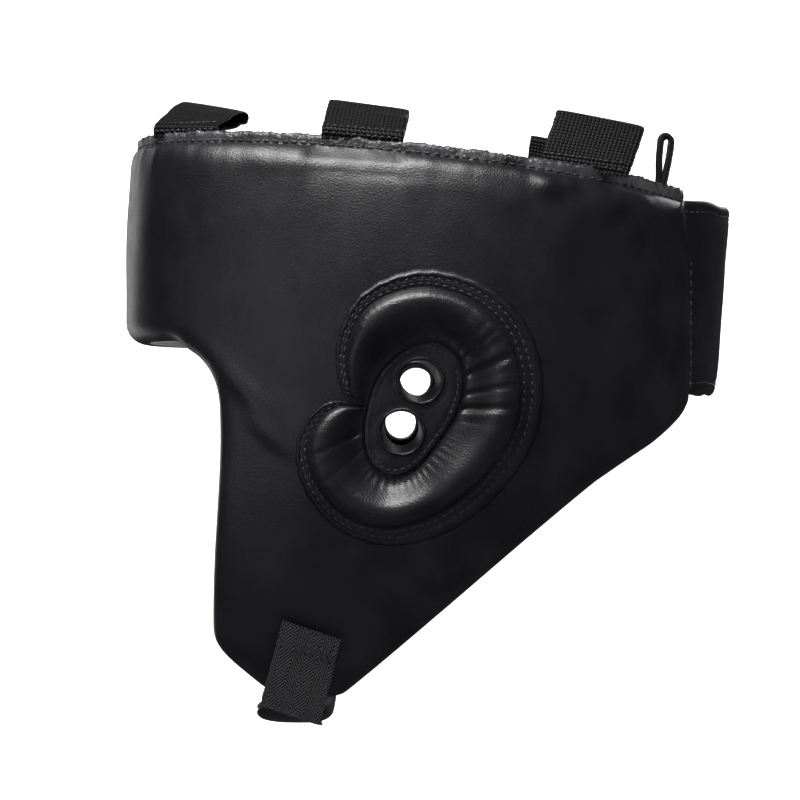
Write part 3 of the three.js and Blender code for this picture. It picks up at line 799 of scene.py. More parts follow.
# %% Draw the ear guards' lines
EAR_ROWS = [
    # outline x, z and plate x, z, from the notch round over the top
    (-12.0, -2.2, -12.6, -3.6),
    (-16.6, 0.6, -12.4, -2.2),
    (-20.6, 4.4, -11.8, 0.6),
    (-22.6, 15.0, -9.4, 7.2),
    (-20.6, 26.0, -6.4, 11.8),
    (-14.4, 37.0, -1.6, 16.6),
    (-2.0, 44.2, 4.6, 20.6),
    (13.0, 46.2, 11.6, 22.6),
    (31.0, 40.4, 17.6, 20.2),
    (44.4, 27.0, 22.8, 14.4),
    (50.2, 8.0, 24.0, 5.0),
    (47.4, -13.0, 20.4, -6.6),
    (36.4, -31.0, 13.2, -17.2),
    (18.6, -45.8, 6.0, -25.6),
    (-3.0, -52.0, -2.4, -29.0),
    (-21.6, -46.6, -9.2, -26.2),
    (-33.6, -33.0, -12.8, -20.6),
    (-37.2, -18.0, -13.8, -13.4),
    (-32.6, -6.8, -13.6, -8.4),
    (-25.0, -1.0, -13.2, -5.8),
    (-17.6, -1.4, -12.9, -4.6),
]
HOLE_MIDDLE = np.array([4.2, -2.4])


def closed_curve(rows, per_row):
    """A smooth closed curve through the rows, with per_row points to each."""
    rows = np.asarray(rows, float)
    a, b, c, d = (np.roll(rows, shift, 0)[:, None] for shift in (1, 0, -1, -2))
    t = (np.arange(per_row) / per_row)[None, :, None]
    curve = 0.5 * (2 * b + (c - a) * t + (2 * a - 5 * b + 4 * c - d) * t**2 + (3 * b - a - 3 * c + d) * t**3)
    return curve.reshape(-1, rows.shape[1])


ear_curve = closed_curve(EAR_ROWS, 16)
ear_outline, plate_edge = ear_curve[:, :2], ear_curve[:, 2:]
ring_width = np.linalg.norm(ear_outline - plate_edge, axis=1)


def ear_point(side, x, z, lift):
    """A place in the side view laid on one side's leather, lifted off it."""
    return bend(side * run_at(x, z), z, -np.asarray(lift, float))


def ear_line(side, x, z, lift):
    """A line laid on one side's leather, and the way out of the leather along it."""
    line = ear_point(side, x, z, lift)
    return line, ear_point(side, x, z, lift + 1.0) - line


def facing_out(faces, side):
    """The same faces, turned over on the left side so that both sides face out."""
    return [face[::-1] for face in faces] if side < 0 else faces


print(f"{len(ear_curve)} rows round each ear, {ring_width.min():.1f} to {ring_width.max():.1f} mm wide")

# %% [markdown]
# The ring's section is a flat flange, a crease, a round crown nearer the outside, and a long slope
# down to the plate. Where the ring narrows at the notch the crown is lower, so the ends tuck in.
# Leather that is gathered on a curve folds: the inner seam has fine puckers, and a few deeper
# creases run out from the plate behind the ear. Both sides use the same numbers with their own
# seed, because no two hand-sewn pads crease alike.

# %% Puff the ear rings
CROWN = 9.6
CROWN_AT = 0.3  # the crown's place across the puffed part
CREASES = [  # direction from the plate's middle in degrees, and depth
    (58.0, 0.4), (50.0, 0.6), (43.0, 0.9), (36.5, 0.7), (29.0, 2.3), (21.0, 0.5), (12.0, 1.5), (7.0, 0.5),
    (-1.5, 2.2), (-14.0, 0.4), (207.0, 0.9), (222.0, 0.35),
]
ear_turn = np.arctan2(ear_outline[:, 1] - HOLE_MIDDLE[1], ear_outline[:, 0] - HOLE_MIDDLE[0])
flange_width = np.minimum(5.4 + 1.9 * np.cos(ear_turn + 0.15), ring_width * 0.32)


def ring_profile(across):
    """The puffed part's height from the crease at 0 to the plate at 1, as a share of the crown."""
    rise = np.clip(across / CROWN_AT, 0, 1)
    fall = np.clip((across - CROWN_AT) / (1 - CROWN_AT), 0, 1)
    up = (1 - (1 - rise) ** 2.4) ** 0.5
    down = 0.05 + 0.95 * (0.5 + 0.5 * np.cos(math.pi * fall**1.1))
    return np.where(across < CROWN_AT, up, down)


def ear_ring(side, label, seed):
    up_to_middle = 1 - np.cos(np.linspace(0.18, math.pi / 2, 12))
    shares = np.concatenate([[0.0], up_to_middle, np.linspace(1, 2.0, 26)[1:]]) / 2.0
    shares = 0.5 * shares + 0.5 * np.linspace(0, 1, len(shares))
    flange = flange_width[:, None] * 0.92
    reach = ring_width[:, None] - flange
    inwards = unit(plate_edge - ear_outline)[:, None]
    flat = ear_outline[:, None] + inwards * (flange + reach * shares)[..., None]
    from_middle = flat - HOLE_MIDDLE
    angle = np.degrees(np.arctan2(from_middle[..., 1], from_middle[..., 0]))
    radius = np.linalg.norm(from_middle, axis=2)
    # The crown is lower where the ring is narrow, and higher at the rear and the top.
    high = CROWN * np.clip(reach / 19.0, 0, 1) ** 0.75
    lift = 0.5 + high * ring_profile(shares)[None]
    waves = np.random.default_rng(seed)
    for where, depth in CREASES:
        where = where + waves.uniform(-1.5, 1.5) + (0 if side < 0 else waves.uniform(-5, 5))
        turned = (angle - where + 180) % 360 - 180
        width = waves.uniform(0.8, 1.3)
        drift = waves.uniform(-0.06, 0.06) * (radius - 30)
        aside = np.abs(np.radians(turned) * radius + drift)
        cut = np.exp(-((aside / width) ** 1.4))
        beside = np.exp(-(((aside - 2.4) / 1.8) ** 2))
        fade = np.clip(shares / 0.25, 0, 1) * np.clip((1.02 - shares) / 0.12, 0, 1)
        inner = 0.35 + 0.65 * np.exp(-(((shares - 0.78) / 0.3) ** 2))
        lift += depth * (0.22 * beside - cut) * (fade * inner)[None]
    gone = np.cumsum(np.linalg.norm(np.roll(plate_edge, -1, 0) - plate_edge, axis=1))[:, None]
    gather = np.exp(-(((0.98 - shares) / 0.24) ** 2))[None]
    strong = np.exp(-(((angle + 68 + 180) % 360 - 180) / 52) ** 4)
    phase = gone * 2 * math.pi / 2.3 + 1.4 * np.sin(gone / 3.1 + seed)
    lift += 0.2 * np.sin(phase) * gather * (0.15 + 0.85 * strong)
    outer_gather = np.exp(-((shares / 0.16) ** 2))[None]
    around_out = np.cumsum(np.linalg.norm(np.roll(ear_outline, -1, 0) - ear_outline, axis=1))[:, None]
    lift += 0.16 * np.sin(around_out * 2 * math.pi / 3.3 + seed) * outer_gather
    swells = swell(flat[..., 0] + 100 * seed, flat[..., 1], (17.0, 29.0), seed)
    lift += 0.45 * swells * np.sin(math.pi * shares) ** 0.5
    points = ear_point(side, flat[..., 0], flat[..., 1], lift)
    faces = facing_out(grid_faces(len(ear_curve), len(shares), close_rows=True), side)
    piece = make_piece(f"{label}_ear_ring", points, faces, cover_leather, "guard")
    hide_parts(f"{label}_ear_pad", f"{label}_ear_pad_foam")
    return piece


ear_rings = {
    label: ear_ring(side, label, seed) for side, label, seed in ((-1, "left", 5), (1, "right", 9))
}
print({label: len(ring.data.polygons) for label, ring in ear_rings.items()})

# %% [markdown]
# The flange is a folded strip sewn flat round the ring, with two rows of stitches. Its outer edge
# is a soft lip that stands off the wall and catches light, and the stitches pull small dips in it.
# At the notch it narrows, gathers in small pleats and follows the ring's ends in.

# %% Lay the flanges
FLANGE_SECTION = [  # share of the flange's width, from the outside in, and lift
    (-0.25, -0.5), (-0.3, 0.5), (-0.12, 1.5), (0.04, 2.05), (0.18, 1.75), (0.3, 1.3), (0.42, 1.45),
    (0.6, 1.5), (0.72, 1.2), (0.85, 1.42), (1.0, 1.0), (1.12, 0.0),
]
NARROWEST_STITCHED = 3.2


def ear_flange(side, label, seed):
    waves = np.random.default_rng(seed)
    wide = flange_width
    inwards = unit(plate_edge - ear_outline)
    gone = np.cumsum(np.linalg.norm(np.roll(ear_outline, -1, 0) - ear_outline, axis=1))
    ragged = 0.16 * np.sin(gone * 2 * math.pi / 7.3 + waves.uniform(0, 6)) + 0.12 * np.sin(gone * 2.9)
    from_notch = np.minimum(gone, gone[-1] - gone)
    pleats = 0.5 * np.sin(gone * 2 * math.pi / 2.2) * np.exp(-(((from_notch - 6.0) / 6.0) ** 2))
    columns = []
    for share, lift in FLANGE_SECTION:
        dip = 0.13 * np.sin(gone * 2 * math.pi / 3.1) * math.exp(-(((share - 0.3) / 0.15) ** 2))
        flat = ear_outline + inwards * (share * wide + ragged * (1 - min(max(share, 0), 1)))[:, None]
        high = lift * np.clip(wide / 3.0, 0.5, 1) + dip + pleats * min(lift, 1)
        columns.append(ear_point(side, flat[:, 0], flat[:, 1], high))
    faces = facing_out(grid_faces(len(ear_curve), len(columns), close_rows=True), side)
    piece = make_piece(f"{label}_ear_welt", np.stack(columns, 1), faces, cover_leather, "guard")
    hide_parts(f"{label}_ear_flange")
    for row, share in (("outer", 0.32), ("inner", 0.72)):
        flat = ear_outline + inwards * (share * wide)[:, None]
        line, out = ear_line(side, flat[:, 0], flat[:, 1], 1.3)
        stitched = wide > NARROWEST_STITCHED
        stitch_row(f"{label}_welt_{row}_stitches", line[stitched], out[stitched], "guard",
                   pitch=3.1, length=2.3, thick=0.62)


for side, label in ((-1, "left"), (1, "right")):
    ear_flange(side, label, 31 + side)
print("flanges laid")

# %% [markdown]
# The plate is a flat oval of leather over thin board, sewn down close to its edge, with two round
# holes for hearing. Each hole is lined with a rolled rim that runs through the wall. The same
# plate in lining fabric closes the inside.

# %% Cut the plates
def plate_mesh(side, name, material, base, outward):
    """A plate on the outside (outward 1) or on the lining's face (outward -1)."""
    edge = even_steps(np.vstack([plate_edge, plate_edge[:1]]), 1.3)[:-1]
    middle = edge.mean(0)
    edge = middle + (edge - middle) * 0.97
    loops = [edge]
    for hole in EAR_HOLES:
        loops.append(np.array(hole) + (HOLE_RADIUS + 0.5) * np.stack([np.cos(around), np.sin(around)], 1))
    grid_x, grid_z = np.meshgrid(np.arange(-16, 26, 1.25), np.arange(-31, 26, 1.08))
    grid_x[1::2] += 0.62
    spots = np.stack([grid_x.ravel(), grid_z.ravel()], 1)
    spots = spots[inside(spots, edge)]
    closed_loops = [np.vstack([loop, loop[:1]]) for loop in loops]
    spots = spots[distance_to(spots, closed_loops) > 0.8]
    inset = [middle + (edge - middle) * scale for scale in (0.985, 0.96)]
    for hole in EAR_HOLES:
        spots = spots[np.linalg.norm(spots - np.array(hole), axis=1) > HOLE_RADIUS + 1.1]
    cloud = [Vector(p) for p in np.vstack([*loops, *inset, spots])]
    result = delaunay_2d_cdt(cloud, constrained_edges(loops), [], 1, 1e-4)
    flat, tris = np.array([tuple(p) for p in result[0]]), np.array(result[2])
    centre = flat[tris].mean(1)
    good = inside(centre, edge)
    for hole in EAR_HOLES:
        good &= np.linalg.norm(centre - np.array(hole), axis=1) > HOLE_RADIUS + 0.4
    tris = tris[good]
    from_edge = distance_to(flat, closed_loops[:1])
    from_hole = np.minimum.reduce([
        np.linalg.norm(flat - np.array(hole), axis=1) - HOLE_RADIUS for hole in EAR_HOLES
    ])
    rise = 1.5 * np.sqrt(np.clip(1 - (1 - np.clip(from_edge / 1.4, 0, 1)) ** 2, 0, 1)) - 0.4
    rise -= 0.45 * np.exp(-(((from_edge - 2.3) / 0.6) ** 2))
    rise -= 0.3 * np.exp(-(((from_hole - 1.6) / 0.9) ** 2))
    rise += 0.35 * swell(flat[:, 0], flat[:, 1], (9.0, 19.0), 40)
    faces = tris[:, ::-1] if (side < 0) == (outward > 0) else tris
    points = ear_point(side, flat[:, 0], flat[:, 1], -base + outward * rise)
    return make_piece(name, points, faces.tolist(), material, "guard")


RIM = [  # how much wider than the hole, and lift, from the plate's face through to the lining's
    (1.5, 0.4), (1.35, 1.3), (0.95, 1.8), (0.55, 1.85), (0.2, 1.4), (0.05, 0.6), (0.0, -3.0),
    (0.1, -8.0), (0.1, -14.0), (0.0, -18.6), (0.1, -20.6), (0.7, -21.0), (1.4, -20.8), (1.6, -20.0),
]


def hole_liner(side, label, name, hole):
    ring = np.linspace(0, 2 * math.pi, 48, endpoint=False)
    columns = []
    for grow, lift in RIM:
        uneven_rim = 0.12 * np.sin(ring * 5 + hole[0]) + 0.07 * np.sin(ring * 11)
        inside_wall = min(max(-lift / WALL, 0.0), 1.0)
        radius = HOLE_RADIUS - 0.7 + grow + (uneven_rim if grow > 0.2 else 0) - 0.5 * inside_wall
        x = hole[0] - 0.8 * inside_wall + radius * np.cos(ring)
        z = hole[1] + 1.9 * inside_wall + radius * np.sin(ring)
        columns.append(ear_point(side, x, z, lift))
    faces = facing_out(grid_faces(len(ring), len(RIM), close_rows=True), side)
    piece = make_piece(f"{label}_hole_rim_{name}", np.stack(columns, 1), faces, cover_leather, "guard")
    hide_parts(f"{label}_ear_hole_liner_{name}")


for side, label in ((-1, "left"), (1, "right")):
    outer_plate = plate_mesh(side, f"{label}_plate", cover_leather, 0.0, 1)
    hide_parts(f"{label}_ear_plate")
    inner_plate = plate_mesh(side, f"{label}_plate_lining", lining, WALL, -1)
    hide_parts(f"{label}_inner_ear_plate")
    for name, hole in zip(("upper", "lower"), EAR_HOLES):
        hole_liner(side, label, name, hole)
    middle = plate_edge.mean(0)
    seam = middle + (plate_edge - middle) * 0.875
    line, out = ear_line(side, seam[:, 0], seam[:, 1], 0.85)
    stitch_row(f"{label}_plate_stitches", line, out, "guard",
               pitch=2.5, length=1.8, thick=0.5)
print("plates and rims done")

# %% [markdown]
# ## Webbing ribbons
# Every strap is a ribbon: a centre line, a direction across it and a thickness. The helper makes
# a closed strip with rounded selvedges, ripples it slightly, and stores the distance across and
# along it in millimetres, which the weave then follows round every bend.

# %% Weave a ribbon
def ribbon(name, centre, across, width, thick, material, body, wave, seed):
    centre, across = np.asarray(centre, float), unit(np.asarray(across, float))
    rows = len(centre)
    gone = np.concatenate([[0.0], np.cumsum(np.linalg.norm(np.diff(centre, axis=0), axis=1))])
    way = unit(np.gradient(centre, axis=0))
    out = unit(np.cross(way, across))
    shares = np.sin(np.linspace(-math.pi / 2, math.pi / 2, 17))
    half = thick / 2 * np.clip((1 - np.abs(shares) ** 9), 0, 1) ** 0.5
    width = np.broadcast_to(np.asarray(width, float), (rows,))
    ragged = 1 + 0.012 * wobble(gone, (1.9, 3.1, 7.7), seed)
    ripple = wave * (wobble(gone, (5.3, 11.0), seed + 1)[:, None] * (0.5 + shares[None] * 0.5)
                     + 0.6 * wobble(gone * 0.3 + 5, (3.1,), seed + 2)[:, None] * shares[None] ** 2)
    flat = centre[:, None] + across[:, None] * (shares[None] * (width * ragged)[:, None] / 2)[..., None]
    top = flat + out[:, None] * (half[None] + ripple)[..., None]
    bottom = flat - out[:, None] * (half[None] - ripple)[..., None]
    ring = np.concatenate([top, bottom[:, ::-1][:, 1:-1]], 1)
    columns = ring.shape[1]
    place = np.concatenate([shares, shares[::-1][1:-1]])[None] * (width * ragged)[:, None] / 2
    uv = np.stack([place, np.broadcast_to(gone[:, None], place.shape)], 2)
    faces = grid_faces(rows, columns, close_columns=True)
    faces += [tuple(range(columns)), tuple(range(rows * columns - 1, (rows - 1) * columns - 1, -1))]
    return make_piece(name, ring, [face[::-1] for face in faces], material, body, uv)


print("ribbon helper ready")

# %% [markdown]
# ## Lace loops
# Six short loops of webbing stand in the top seam. A lace run through them over the crown would
# pull the guard snug. Each is a strip folded in half with both ends caught in the seam, and all
# but the right rear one have flopped inwards over the head. A loop bends at its foot, where it
# turns a little at a time as it rises.

# %% Stand the lace loops in the seam
LOOPS = {
    "front": dict(x=-88.0, lean=66.0, gap=4.2, yaw=0.3, skew=0.5, tilt=-0.24),
    "middle": dict(x=-14.5, lean=56.0, gap=3.0, yaw=0.3, skew=0.6, tilt=-0.06),
    "rear": dict(x=72.6, lean=31.0, gap=2.6, yaw=1.0, skew=4.6, tilt=-0.06, length=22.0, width=35.5),
}
LOOP_WIDTH, LOOP_LENGTH, LOOP_BAND = 32.0, 21.0, 1.4
RIM_Z = 92.0  # the height at which places along the rim are measured
SEAM_MIDDLE = 7.2
LOOP_BEHIND = 1.9  # the loops are caught behind the cover's seam allowance


def rim_frame(x, side, lift, yaw=0.0):
    """Origin, along the rim, up and into the head. yaw 1 squares it to the side view."""
    def place(at_x):
        point = bend(side * run_at(at_x, RIM_Z), RIM_Z, SEAM_MIDDLE)
        return np.array([point[0], point[1], float(top_z(point[0])) + 4.0 + lift])
    before, origin, after = place(x - 4), place(x), place(x + 4)
    along = unit(after - before)
    along = unit(along * (1 - yaw) + unit(np.array([1.0, 0.0, along[2]])) * yaw)
    up = unit(np.array([0, 0, 1.0]) - along * along[2])
    into = np.cross(up, along) * (1 if side < 0 else -1)
    return origin, along, up, into


def leaned(points, lean):
    """Turns (into, up) points about the foot, a little at a time as they rise."""
    rise = np.clip((points[:, 1] + 2.2) / 4.0, 0, 1)
    turn = math.radians(lean) * rise * rise * (3 - 2 * rise)
    c, s = np.cos(turn), np.sin(turn)
    return np.stack([points[:, 0] * c + points[:, 1] * s, points[:, 1] * c - points[:, 0] * s], 1)


def folded_strip(length, band, gap, count=15):
    """The strip's middle line in (into, up): up one side, round the fold and down the other."""
    half = (gap + band) / 2
    fold = length - half - band / 2
    foot = band / 2 + 0.15
    up_side = bezier((-foot, -3.6), (-foot, 4.0), (-half, 5.0), (-half, fold), count)
    over = np.linspace(math.pi, 0, 13)[1:]
    top = np.stack([half * np.cos(over), fold + half * np.sin(over)], 1)
    down_side = up_side[::-1] * np.array([-1, 1])
    return np.vstack([[(-foot, -3.6)], up_side, top, down_side])


def lace_loop(side, label, name, x, lean, gap, yaw, skew, tilt, length=LOOP_LENGTH, width=LOOP_WIDTH):
    body = f"{label}_{name}_loop"
    origin, along, up, into = rim_frame(x, side, 2.2, yaw)
    origin = origin + into * LOOP_BEHIND
    flat = leaned(folded_strip(length, LOOP_BAND, gap), lean)
    centre = origin + flat[:, :1] * into + flat[:, 1:] * up
    rise = np.clip((flat[:, 1] + 3) / 20, 0, 1)
    centre = centre + (skew * rise)[:, None] * along
    across = along + (tilt * rise)[:, None] * up
    strip = ribbon(f"{body}_strip", centre, across, width - 1.2, LOOP_BAND,
                   coarse_webbing, None, wave=0.3, seed=int(x) % 17 + side + 3)
    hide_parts(body)
    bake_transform(strip)
    spread = np.linspace(-width / 2 + 1.5, width / 2 - 1.5, 20)[:, None] * along
    for row, height in (("foot", -1.2), ("hem", 1.0)):
        spot = leaned(np.array([[-(LOOP_BAND + 0.3), height]]), lean)[0]
        line = origin + spread + spot[0] * into + spot[1] * up
        out = np.tile(-into * math.cos(math.radians(lean * 0.4)) + up * 0.4, (len(line), 1))
        stitches = stitch_row(f"{body}_{row}_stitches", line, out, None,
                              pitch=2.6, length=2.0, thick=0.7)
        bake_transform(stitches)


for side, label in ((-1, "left"), (1, "right")):
    for name, shape in LOOPS.items():
        if (label, name) == ("right", "rear"):
            shape = {**shape, "lean": 6.0, "length": 24.5, "width": LOOP_WIDTH, "skew": 0.0}
        lace_loop(side, label, name, **shape)
print("lace loops:", 2 * len(LOOPS))

# %% [markdown]
# The hang loop is a narrow tape folded the same way, near the left rear corner. Its flat side
# faces along the rim, so a side view looks through it.

# %% Add the hang loop
HANG_X, HANG_HIGH, HANG_GAP = 106.0, 18.5, 2.6
HANG_WIDTH, HANG_THICK = 4.6, 2.3
origin, along, up, into = rim_frame(HANG_X, -1, 1.6, yaw=0.8)
tape = folded_strip(HANG_HIGH, 1.6, HANG_GAP)
hang_line = origin + tape[:, :1] * along + tape[:, 1:] * up
hang_across = np.tile(unit(into + 0.45 * along), (len(hang_line), 1))
hang_tape = ribbon("hang_loop_tape", hang_line, hang_across, HANG_WIDTH, HANG_THICK, fine_webbing,
                   None, wave=0.1, seed=4)
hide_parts("hang_loop")
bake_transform(hang_tape)
print("hang loop", len(hang_tape.data.polygons), "faces")

# %% [markdown]
# ## The closure at the back
# A wide leather strap from the left wing crosses the gap at the nape and sticks, by hook tape,
# to a flap from the right wing. The strap is two layers with softened edges, a slight curl along
# its lower edge and a row of stitches along its top and its bottom.

# %% Make the closure panels
BACK_FROM, BACK_HALF, BACK_POWER = 60.0, 72.0, 2.2
PANEL_STITCH_IN = 4.4  # how far in from a panel's edge its stitches run


def closure_point(y, z, depth):
    """A place on the closure's curve behind the head, from y and height."""
    reach = 131.0 + 0.079 * (z - 40.0) - BACK_FROM
    across = np.clip(np.abs(y) / BACK_HALF, 0, 0.9999)
    along = (1 - across**BACK_POWER) ** (1 / BACK_POWER)
    normal_x = along ** (BACK_POWER - 1) / reach
    normal_y = np.sign(y) * across ** (BACK_POWER - 1) / BACK_HALF
    length = np.hypot(normal_x, normal_y)
    return np.stack([BACK_FROM + reach * along - normal_x / length * depth,
                     y - normal_y / length * depth, z + 0 * y], -1)


def closure_panel(name, from_y, to_y, low, high, outer, inner, tilt, end_round, seed, curl=0.0):
    """A padded strap between two depths, thinner at its edges, with a dent along its stitches."""
    across = np.linspace(from_y, to_y, 64)
    edge = (1 - np.cos(np.linspace(0, math.pi, 34))) / 2
    y, share = np.meshgrid(across, edge, indexing="ij")
    corner = np.clip((y - (to_y - end_round)) / end_round, 0, 1) if end_round > 0 else np.clip(
        ((from_y - end_round) - y) / -end_round, 0, 1)
    pull = 9.0 * (1 - np.sqrt(np.clip(1 - corner**2, 0, 1)))
    bottom = low + pull + 0.5 * wobble(y, (23.0, 41.0), seed)
    top = high - pull + 0.5 * wobble(y, (19.0, 37.0), seed + 1)
    z = bottom + (top - bottom) * share
    from_edge = np.minimum(z - bottom, top - z)
    from_edge = np.minimum(from_edge, (to_y - y) if end_round > 0 else (y - from_y))
    soft = np.sqrt(np.clip(1 - (1 - np.clip(from_edge / 2.6, 0, 1)) ** 2, 0.003, 1))
    dent = 0.45 * np.exp(-(((from_edge - PANEL_STITCH_IN) / 0.8) ** 2))
    swells = 0.5 * swell(y, z, (21.0, 38.0), seed) * np.clip(from_edge / 8, 0, 1)
    roll_in = curl * np.exp(-(z - bottom) / 5.0)
    middle = (outer + inner) / 2
    half = (inner - outer) / 2
    lean = tilt * (to_y - y)
    front = closure_point(y, z, middle - half * soft + dent - swells + roll_in)
    back = closure_point(y, z, middle + half * soft - dent * 0.5 - swells + roll_in)
    front[..., 2] += lean
    back[..., 2] += lean
    rows = len(across)
    points = np.concatenate([front, back[:, ::-1][:, 1:-1]], 1)
    count = points.shape[1]
    faces = grid_faces(rows, count, close_columns=True)
    faces += [tuple(range(count))[::-1], tuple(range((rows - 1) * count, rows * count))]
    panel = make_piece(name, points, faces, cover_leather, None)
    lines = []
    for part, z_row in (("low", bottom[:, 0] + PANEL_STITCH_IN), ("high", top[:, 0] - PANEL_STITCH_IN)):
        spot = closure_point(across, z_row, middle - half + 0.35)
        out = spot - closure_point(across, z_row, middle - half + 1.35)
        spot[:, 2] += tilt * (to_y - across)
        lines.append(stitch_row(f"{name}_{part}_stitches", spot, out, None,
                                pitch=3.4, length=2.5, thick=0.65))
    return [panel, *lines]


strap_pieces = closure_panel(
    "closure_strap_panel", -56.6, 43.0, 2.0, 77.0, -0.2, 2.4, 0.0, 14.0, 51, curl=0.6)
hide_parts("rear_strap")
for piece in strap_pieces:
    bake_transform(piece)

tongue_pieces = closure_panel("closure_tongue_panel", -14.0, 51.5, 5.0, 78.5, 5.7, 7.9, 0.05, -14.0, 57)
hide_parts("rear_tongue")
for piece in tongue_pieces:
    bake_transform(piece)
tape_finishes = {"rear_strap_hook": hook_tape, "rear_tongue_pile": pile_tape,
                 "right_chin_pile": pile_tape, "chin_webbing_hook": hook_tape}
for node, finish in tape_finishes.items():
    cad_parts[node].data.materials.clear()
    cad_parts[node].data.materials.append(finish)
print("closure panels:", len(strap_pieces) + len(tongue_pieces))

# %% [markdown]
# ## The chin strap
# A padded bar passes under the chin. On the left it hangs from a tab of twill webbing sewn to the
# cheek, and on the right its webbing comes out of the pad and up the cheek to hook tape. The bar
# is an oval tube that is fuller in the middle and pinched at its two ends, with a seam round it.

# %% Shape the chin pad
CHIN_X, CHIN_REACH, CHIN_WIDTH, CHIN_HEIGHT = -41.0, 66.5, 29.0, 9.2
CHIN_Z, CHIN_RISE = -124.4, 7.5  # the bar's middle, and how much higher its ends are
PAD_ROWS, PAD_ROUND = 90, 48


def chin_line(along):
    """The bar's middle line, from -1 at its left end to 1 at its right."""
    along = np.asarray(along, float)
    return np.stack([np.full_like(along, CHIN_X), CHIN_REACH * along, CHIN_Z + CHIN_RISE * along**2], -1)


def rounded(value, power):
    return np.sign(value) * np.abs(value) ** power


pad_along = np.sin(np.linspace(-math.pi / 2, math.pi / 2, PAD_ROWS))
pad_round = np.linspace(0, 2 * math.pi, PAD_ROUND, endpoint=False)
along_grid, round_grid = np.meshgrid(pad_along, pad_round, indexing="ij")
pinch = np.clip(1 - np.abs(along_grid) ** 10, 0, 1) ** 0.5
pad_waves = swell(along_grid * CHIN_REACH, round_grid * 8, (15.0, 27.0), 61)
pad_x = CHIN_WIDTH / 2 * rounded(np.cos(round_grid), 0.6) * (0.86 + 0.14 * pinch)
pad_high = CHIN_HEIGHT / 2 * (0.28 + 0.72 * pinch) + 0.45 * pad_waves * pinch
pad_z = pad_high * rounded(np.sin(round_grid), 0.75)
seam_dent = 0.8 * np.exp(-((np.sin(round_grid) / 0.12) ** 2)) * np.sign(np.cos(round_grid))
pad_points = chin_line(along_grid)
pad_points[..., 0] += pad_x - seam_dent
pad_points[..., 2] += pad_z
pad_faces = grid_faces(PAD_ROWS, PAD_ROUND, close_columns=True)
pad_faces += [tuple(range(PAD_ROUND))[::-1], tuple(range((PAD_ROWS - 1) * PAD_ROUND, PAD_ROWS * PAD_ROUND))]
chin_pad = make_piece("chin_pad", pad_points, [face[::-1] for face in pad_faces], cover_leather,
                      "chin_strap")
print("chin pad", len(chin_pad.data.polygons), "faces")

# %% [markdown]
# The pad's leather is blown up from inside as cloth, held at its seam and its two ends, as the
# foam pushes it out. The movement is capped, so the pad can't outgrow its place.

# %% Blow up the chin pad
PRESSURE, CLOTH_FRAMES, MOST_SWELL = 4.0, 20, 1.6


def puffed(piece, held, pressure, frames, cap):
    """Blows a closed pad up from inside as cloth, held at some points, and keeps the new shape."""
    group = piece.vertex_groups.new(name="held")
    group.add([int(i) for i in np.flatnonzero(held)], 1.0, "REPLACE")
    cloth = piece.modifiers.new("cloth", "CLOTH")
    cloth.settings.use_pressure = True
    cloth.settings.uniform_pressure_force = pressure
    cloth.settings.effector_weights.gravity = 0.0
    cloth.settings.vertex_group_mass = "held"
    cloth.settings.tension_stiffness = cloth.settings.compression_stiffness = 12.0
    cloth.settings.bending_stiffness = 0.4
    for step in range(1, frames + 1):
        bpy.context.scene.frame_set(step)
    grown = piece.evaluated_get(bpy.context.evaluated_depsgraph_get()).to_mesh()
    after = np.zeros(len(grown.vertices) * 3)
    grown.vertices.foreach_get("co", after)
    before = np.zeros_like(after)
    piece.data.vertices.foreach_get("co", before)
    moved = (after - before).reshape(-1, 3)
    far = np.maximum(np.linalg.norm(moved, axis=1, keepdims=True), 1e-9)
    moved *= np.minimum(far, cap * MM) / far
    piece.modifiers.remove(cloth)
    piece.vertex_groups.remove(group)
    piece.data.vertices.foreach_set("co", before + moved.ravel())
    piece.data.update()
    bpy.context.scene.frame_set(1)
    return 1000 * float(np.linalg.norm(moved, axis=1).max())


seam_row = np.abs(np.sin(round_grid)) < 0.01
pad_ends = np.abs(along_grid) > 0.98
swelling = puffed(chin_pad, (seam_row | pad_ends).ravel(), PRESSURE, CLOTH_FRAMES, MOST_SWELL)
print(f"the chin pad swells by up to {swelling:.1f} mm")
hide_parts("chin_pad_cover", "chin_pad_foam")

# %% [markdown]
# The left tab lies on the cheek and turns in under the bar's end. The right webbing starts inside
# the bar, turns up round its end and lies on the cheek.

# %% Sew the chin webbing
TAB_TOP, TAB_FOOT = -86.0, -115.0
TAB_TILT = -0.34  # how steeply the tab's rows fall towards the back
RIGHT_FOOT, RIGHT_TOP, RIGHT_LIFT = -110.0, -84.0, 4.4


def tab_middle(z):
    return CHIN_X + 8.5 + 0.27 * (z - TAB_TOP)


def cheek_points(z, side, lift):
    return ear_point(side, tab_middle(z), z, lift)


def tab_across(count):
    return np.tile([1.0, 0.0, TAB_TILT], (count, 1))


left_cheek = cheek_points(np.linspace(TAB_TOP, TAB_FOOT, 20), -1, 1.3)
left_line = np.vstack([
    left_cheek,
    bezier(left_cheek[-1], (-41, -71.6, -117.6), (-41, -70.5, -119.5), (-41, -63.0, -119.6), 10),
])
tab_widths = np.linspace(22.6, 24.6, len(left_line))
tab = ribbon("left_chin_tab_webbing", left_line, tab_across(len(left_line)), tab_widths, 1.6,
             twill_webbing, None, wave=0.15, seed=71)
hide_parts("left_chin_tab")
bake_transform(tab)

